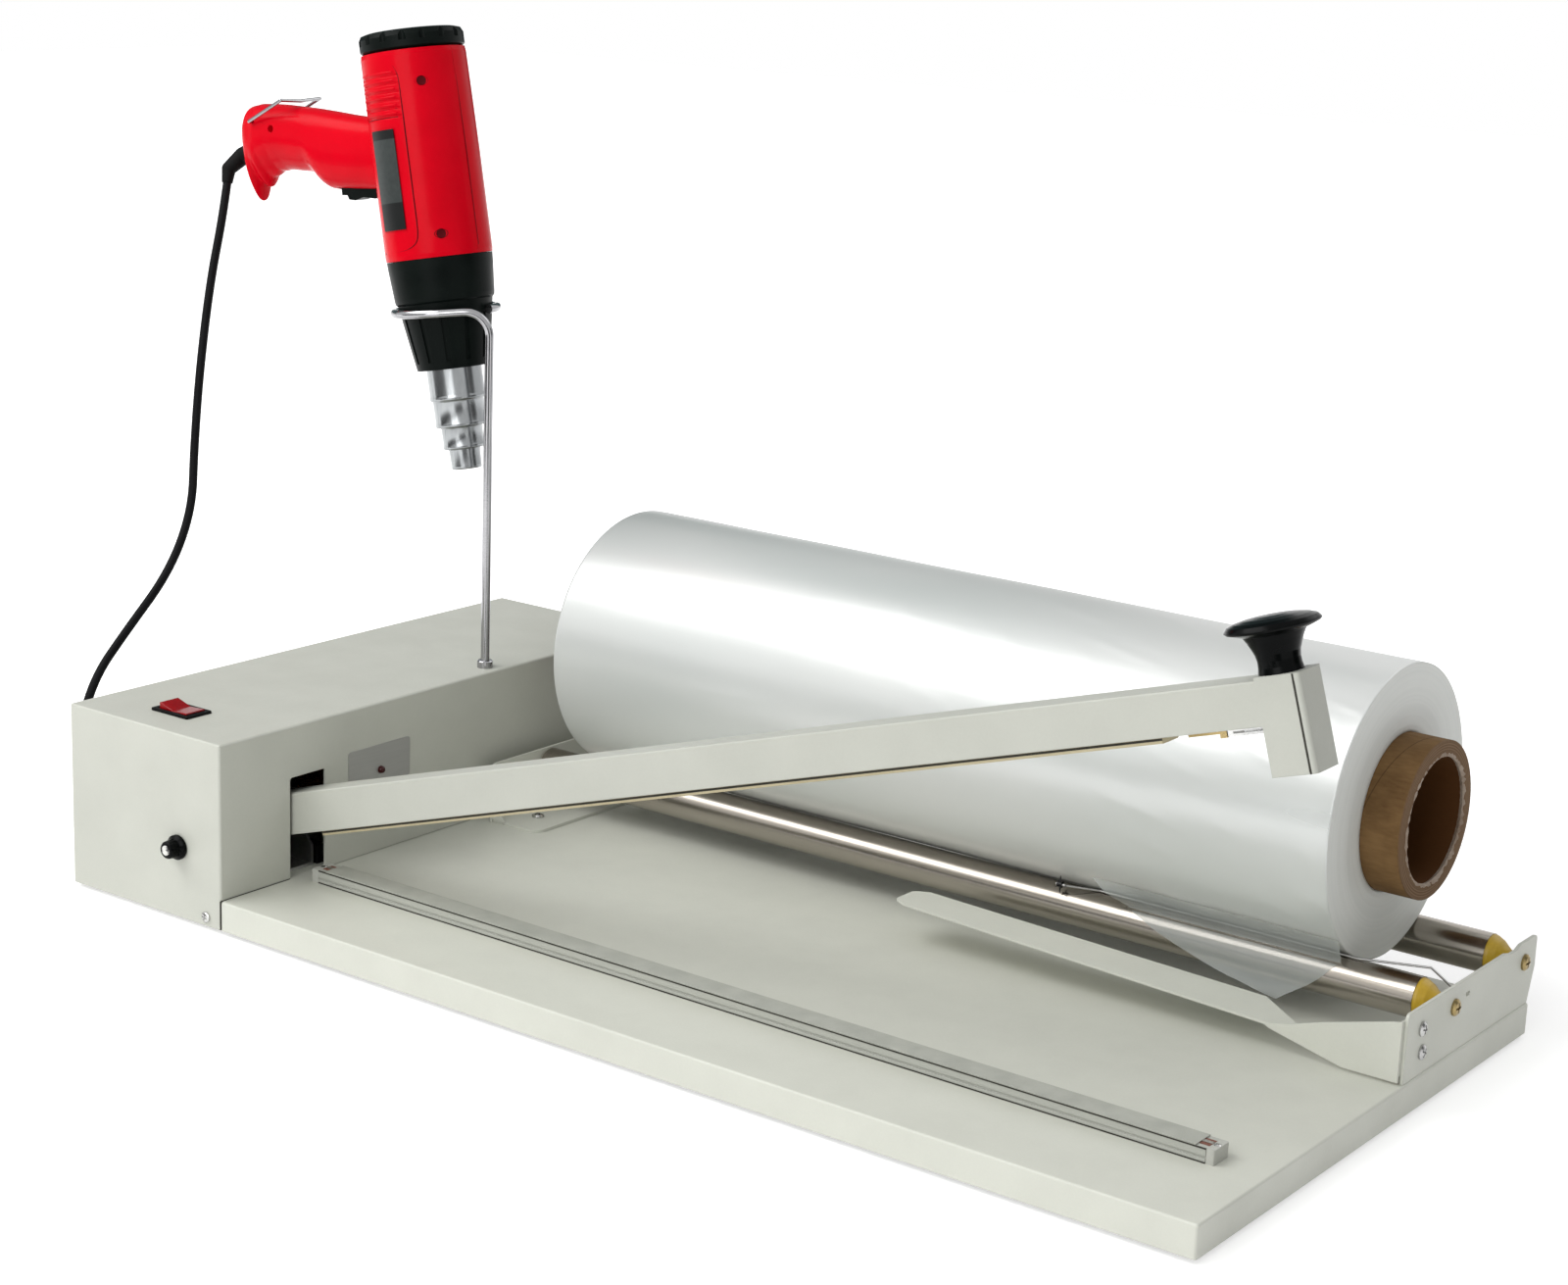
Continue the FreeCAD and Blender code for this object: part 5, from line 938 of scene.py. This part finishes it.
# Between these rows the film runs smoothly. It waves where it hangs free and where its corner
# comes off the roll.
film_tail = bmesh.new()
grid_rows = []
steps_per_row, columns, hangs_from, wave_height, corner_lift = 4, 48, 6, 0.0013, 0.004
for step in range(steps_per_row * (len(drape) - 1) + 1):
    stop = step / steps_per_row
    k = min(int(stop), len(drape) - 2)
    share = stop - k
    before = drape[max(k - 1, 0)]
    after = drape[min(k + 2, len(drape) - 1)]
    y, z, left, right = (
        0.5 * (
            2 * b + (c - a) * share + (2 * a - 5 * b + 4 * c - d) * share ** 2
            + (3 * b - a - 3 * c + d) * share ** 3
        )
        for a, b, c, d in zip(before, drape[k], drape[k + 1], after)
    )
    free = max(0.0, (stop - hangs_from) / 4) + (0.5 if stop < 1.5 else 0.0)
    row = []
    for column in range(columns + 1):
        across = column / columns
        x = left + (right - left) * across
        wave = wave_height * free * noise.noise(Vector((x * 45, stop * 0.5, 2.0)))
        lifted = corner_lift * max(0.0, 1 - across * 6) * max(0.0, 1 - abs(stop - 1.0))
        row.append(film_tail.verts.new((x, y + wave - lifted, z + wave * 0.3)))
    grid_rows.append(row)
for first, second in zip(grid_rows, grid_rows[1:]):
    for k in range(columns):
        face = film_tail.faces.new((first[k], second[k], second[k + 1], first[k + 1]))
        face.smooth = True
tail_area = sum(face.calc_area() for face in film_tail.faces)
film_end = add_piece("film_end", finished("film_end", film_tail), "base", clear_film, "film")

# ---- Wire stand
# One length of 6 mm chrome-plated wire, bent over and round into the open ring that holds the
# gun, with a collar and nut where it stands in the housing.
bright_wire = surface(
    "chrome wire", (0.40, 0.40, 0.41), (0.29, 0.29, 0.30), (0.10, 0.18), 900.0, 0.00001, Metallic=1.0
)
dress(bright_wire, "stand_rod", "rod_collar", "gun_bail")

# ---- Hot-air gun: red shells
# Two halves of impact-proof red plastic, fine-grained and slightly glossy. Dark red lines of
# painted shade mark the panel's edge on the near side and the seam, and fins give a grip below the
# rear cap, with painted shadow under each fin.
gun_red = surface(
    "gun red", (0.66, 0.0, 0.010), (0.58, 0.0, 0.008), (0.18, 0.26), 1100.0, 0.00002, edge=0.0005,
    Specular_IOR_Level=0.06,
)
dress(gun_red, "gun_shell_near", "gun_shell_far")
tilt, gun_foot = math.radians(10.95), (-0.278639, 0.0517, 0.364)
gun_place = Matrix((
    (math.cos(tilt), 0, -math.sin(tilt), gun_foot[0]),
    (0, 1, 0, gun_foot[1]),
    (math.sin(tilt), 0, math.cos(tilt), gun_foot[2]),
    (0, 0, 0, 1),
))
# Dark red for painted shade: in the panel's edge line, the seams, under the fins and in the screw
# pockets.
painted_groove_shade = surface(
    "red of painted groove shade", (0.10, 0.0, 0.003), (0.06, 0.0, 0.002), (0.5, 0.6), 900.0, 0.00001,
    Specular_IOR_Level=0.1,
)
barrel_radius, taper, taper_from, taper_length = 0.0358, 0.0013, 100, 68


def skin_point(height, turn, proud=0.0):
    """A point on the barrel's skin, from its height in mm up the gun and its turn round it."""
    radius = barrel_radius - taper * max(0.0, height - taper_from) / taper_length + proud
    angle = math.radians(turn)
    return gun_place @ Vector((radius * math.cos(angle), radius * math.sin(angle), height / 1000))


def skin_lines(name, lines, thickness):
    """Fine round lines along the barrel's skin, as one mesh."""
    runs = [[skin_point(*spot) for spot in line] for line in lines]
    mesh = taken_from(in_scene("carrier", round_line(name, runs, thickness, facets=2, steps=5)))
    for face in mesh.polygons:
        face.use_smooth = True
    return mesh


border = [
    (165.0, -128), (165.0, -112), (164.6, -98), (163.6, -84), (160.2, -71.5), (155.3, -67.2),
    (150, -65.8), *((height, -65.6) for height in range(140, 50, -10)), (50, -65.8),
    (43.6, -68.0), (39.8, -77), (38.6, -90), (38.4, -104), (38.4, -122),
]
seams = [[(height, turn, 0.0001) for height in range(38, 164, 12)] for turn in (1.4, 178.6)]
first_fin, fin_pitch, fin_count = 126.2, 5.3, 6
fin_above, fin_proud, gap_above, gap_proud = 2.3, -0.0002, -0.2, -0.0013
# Below each fin a sunk line of painted shadow.
fin_shadows = []
fins = []
for k in range(fin_count):
    height = first_fin + fin_pitch * k
    for start in (-136, 68):
        turns = [start + 4 + 7.5 * step for step in range(9)]
        fin_shadows.append([(height + gap_above, turn, gap_proud) for turn in turns])
        fins.append([(height + fin_above, turn, fin_proud) for turn in turns])
groove_shade_lines = [
    skin_lines("panel_edge", [border], thickness=0.0009),
    skin_lines("seams", seams, thickness=0.0005),
    skin_lines("shadows", fin_shadows, thickness=0.0016),
]
add_piece("panel_and_seams", merged("panel_and_seams", groove_shade_lines), "heat_gun", painted_groove_shade, "gun_red")
grip_fins = skin_lines("grip_fins", fins, thickness=0.0019)
add_piece("grip_fins", grip_fins, "heat_gun", gun_red, "gun_red")

# Deep oval screw pockets: each is a dished oval sunk in the skin, painted dark as the shade in it.
pocket_facets, half_width, half_height = 20, 0.0046, 2.9
pockets = bmesh.new()
for height, turn in ((147.3, -41.5), (47.5, -41.5)):
    centre = pockets.verts.new(skin_point(height, turn, -0.0006))
    previous = None
    for size, proud in ((0.5, -0.0004), (0.85, 0.0), (1.0, 0.0004)):
        row = []
        for k in range(pocket_facets):
            angle = 2 * math.pi * k / pocket_facets
            aside = math.degrees(half_width * size * math.cos(angle) / barrel_radius)
            spot = skin_point(height + half_height * size * math.sin(angle), turn + aside, proud)
            row.append(pockets.verts.new(spot))
        for k in range(pocket_facets):
            after = (k + 1) % pocket_facets
            if previous:
                pockets.faces.new((previous[k], row[k], row[after], previous[after]))
            else:
                pockets.faces.new((centre, row[k], row[after]))
        previous = row
for face in pockets.faces:
    face.smooth = True
pocket_mesh = finished("screw_pockets", pockets)
add_piece("screw_pockets", pocket_mesh, "heat_gun", painted_groove_shade, "gun_red")

# ---- Hot-air gun: black mouldings
# Notched rear cap, front collar and ribbed heat guard in glass-filled nylon, and the trigger.
gun_black = surface(
    "glass-filled nylon", (0.0012, 0.0026, 0.0022), (0.0035, 0.006, 0.005), (0.30, 0.45), 1300.0,
    0.00004, edge=0.0005, Specular_IOR_Level=0.06,
)
dress(gun_black, "gun_cap", "gun_collar", "gun_shroud", "gun_trigger")

# The bare side plate has a dark field at its head and foot.
plate_dark = surface(
    "side plate film", (0.050, 0.058, 0.056), (0.026, 0.031, 0.030), (0.3, 0.42), 260.0, 0.00002,
    edge=0.0003, Specular_IOR_Level=0.2,
)
tree = plate_dark.node_tree
shader = tree.nodes["Principled BSDF"]
grey = shader.inputs["Base Color"].links[0].from_socket
at = put(tree, "ShaderNodeTexCoord").outputs["Object"]
up_gun = (-math.sin(tilt), 0, math.cos(tilt))
from_foot = put(tree, "ShaderNodeVectorMath", operation="SUBTRACT", at={0: at, 1: gun_foot}).outputs[0]
height = put(
    tree, "ShaderNodeVectorMath", operation="DOT_PRODUCT", at={0: from_foot, 1: up_gun}
).outputs["Value"]
field_head, field_foot = (0.1122, 0.1128), (0.0712, 0.0706)
head = ranged(tree, height, *field_head)
foot = ranged(tree, height, *field_foot)
ends = maths(tree, "MAXIMUM", head, foot)
banded = mixed(tree, ends, grey, (0.006, 0.007, 0.007, 1))
tree.links.new(banded, shader.inputs["Base Color"])
dress(plate_dark, "gun_side_plate")

# ---- Hot-air gun: nozzle
# Drawn stainless tubes that step down to the mouth, with a rolled bead at each step and fine
# drawing marks along the steel.
nozzle_steel = surface(
    "hot steel", (0.35, 0.365, 0.37), (0.25, 0.26, 0.27), (0.18, 0.28), 900.0, 0.00002,
    (1, 1, 0.05), Metallic=1.0,
)
profile = [
    (0.0085, -0.1101), (0.0098, -0.1101), (0.0104, -0.1094), (0.0103, -0.1080), (0.0106, -0.0990),
    (0.0108, -0.0966), (0.0136, -0.0962), (0.0143, -0.0952), (0.0141, -0.0938), (0.0139, -0.0925),
    (0.0140, -0.0822), (0.0144, -0.0815), (0.0169, -0.0812), (0.0176, -0.0802), (0.0174, -0.0787),
    (0.0172, -0.0775), (0.0173, -0.0640), (0.0176, -0.0632), (0.0186, -0.0628), (0.0191, -0.0618),
    (0.0188, -0.0605), (0.0187, -0.0590), (0.0188, -0.0416), (0.0200, -0.0410), (0.0200, 0.0026),
    (0.0085, 0.0026),
]
nozzle_facets = 96
rows = []
for radius, height in profile:
    row = []
    for k in range(nozzle_facets):
        angle = 2 * math.pi * k / nozzle_facets
        row.append(gun_place @ Vector((radius * math.cos(angle), radius * math.sin(angle), height)))
    rows.append(row)
nozzle_mesh = ring_mesh("nozzle_tubes", rows)
nozzle_mesh.set_sharp_from_angle(angle=math.radians(50))
add_piece("nozzle_tubes", nozzle_mesh, "heat_gun", nozzle_steel, "nozzle_steel", "gun_nozzle")

# ---- Hot-air gun: cord boot
# Soft rubber strain relief, moulded on the lead: straight out of the butt, bent down, tapering.
boot_rubber = surface(
    "boot rubber", (0.003, 0.003, 0.003), (0.008, 0.008, 0.008), (0.5, 0.65), 1200.0, 0.00006,
    edge=0.0008, Specular_IOR_Level=0.07,
)
dress(boot_rubber, "gun_relief")
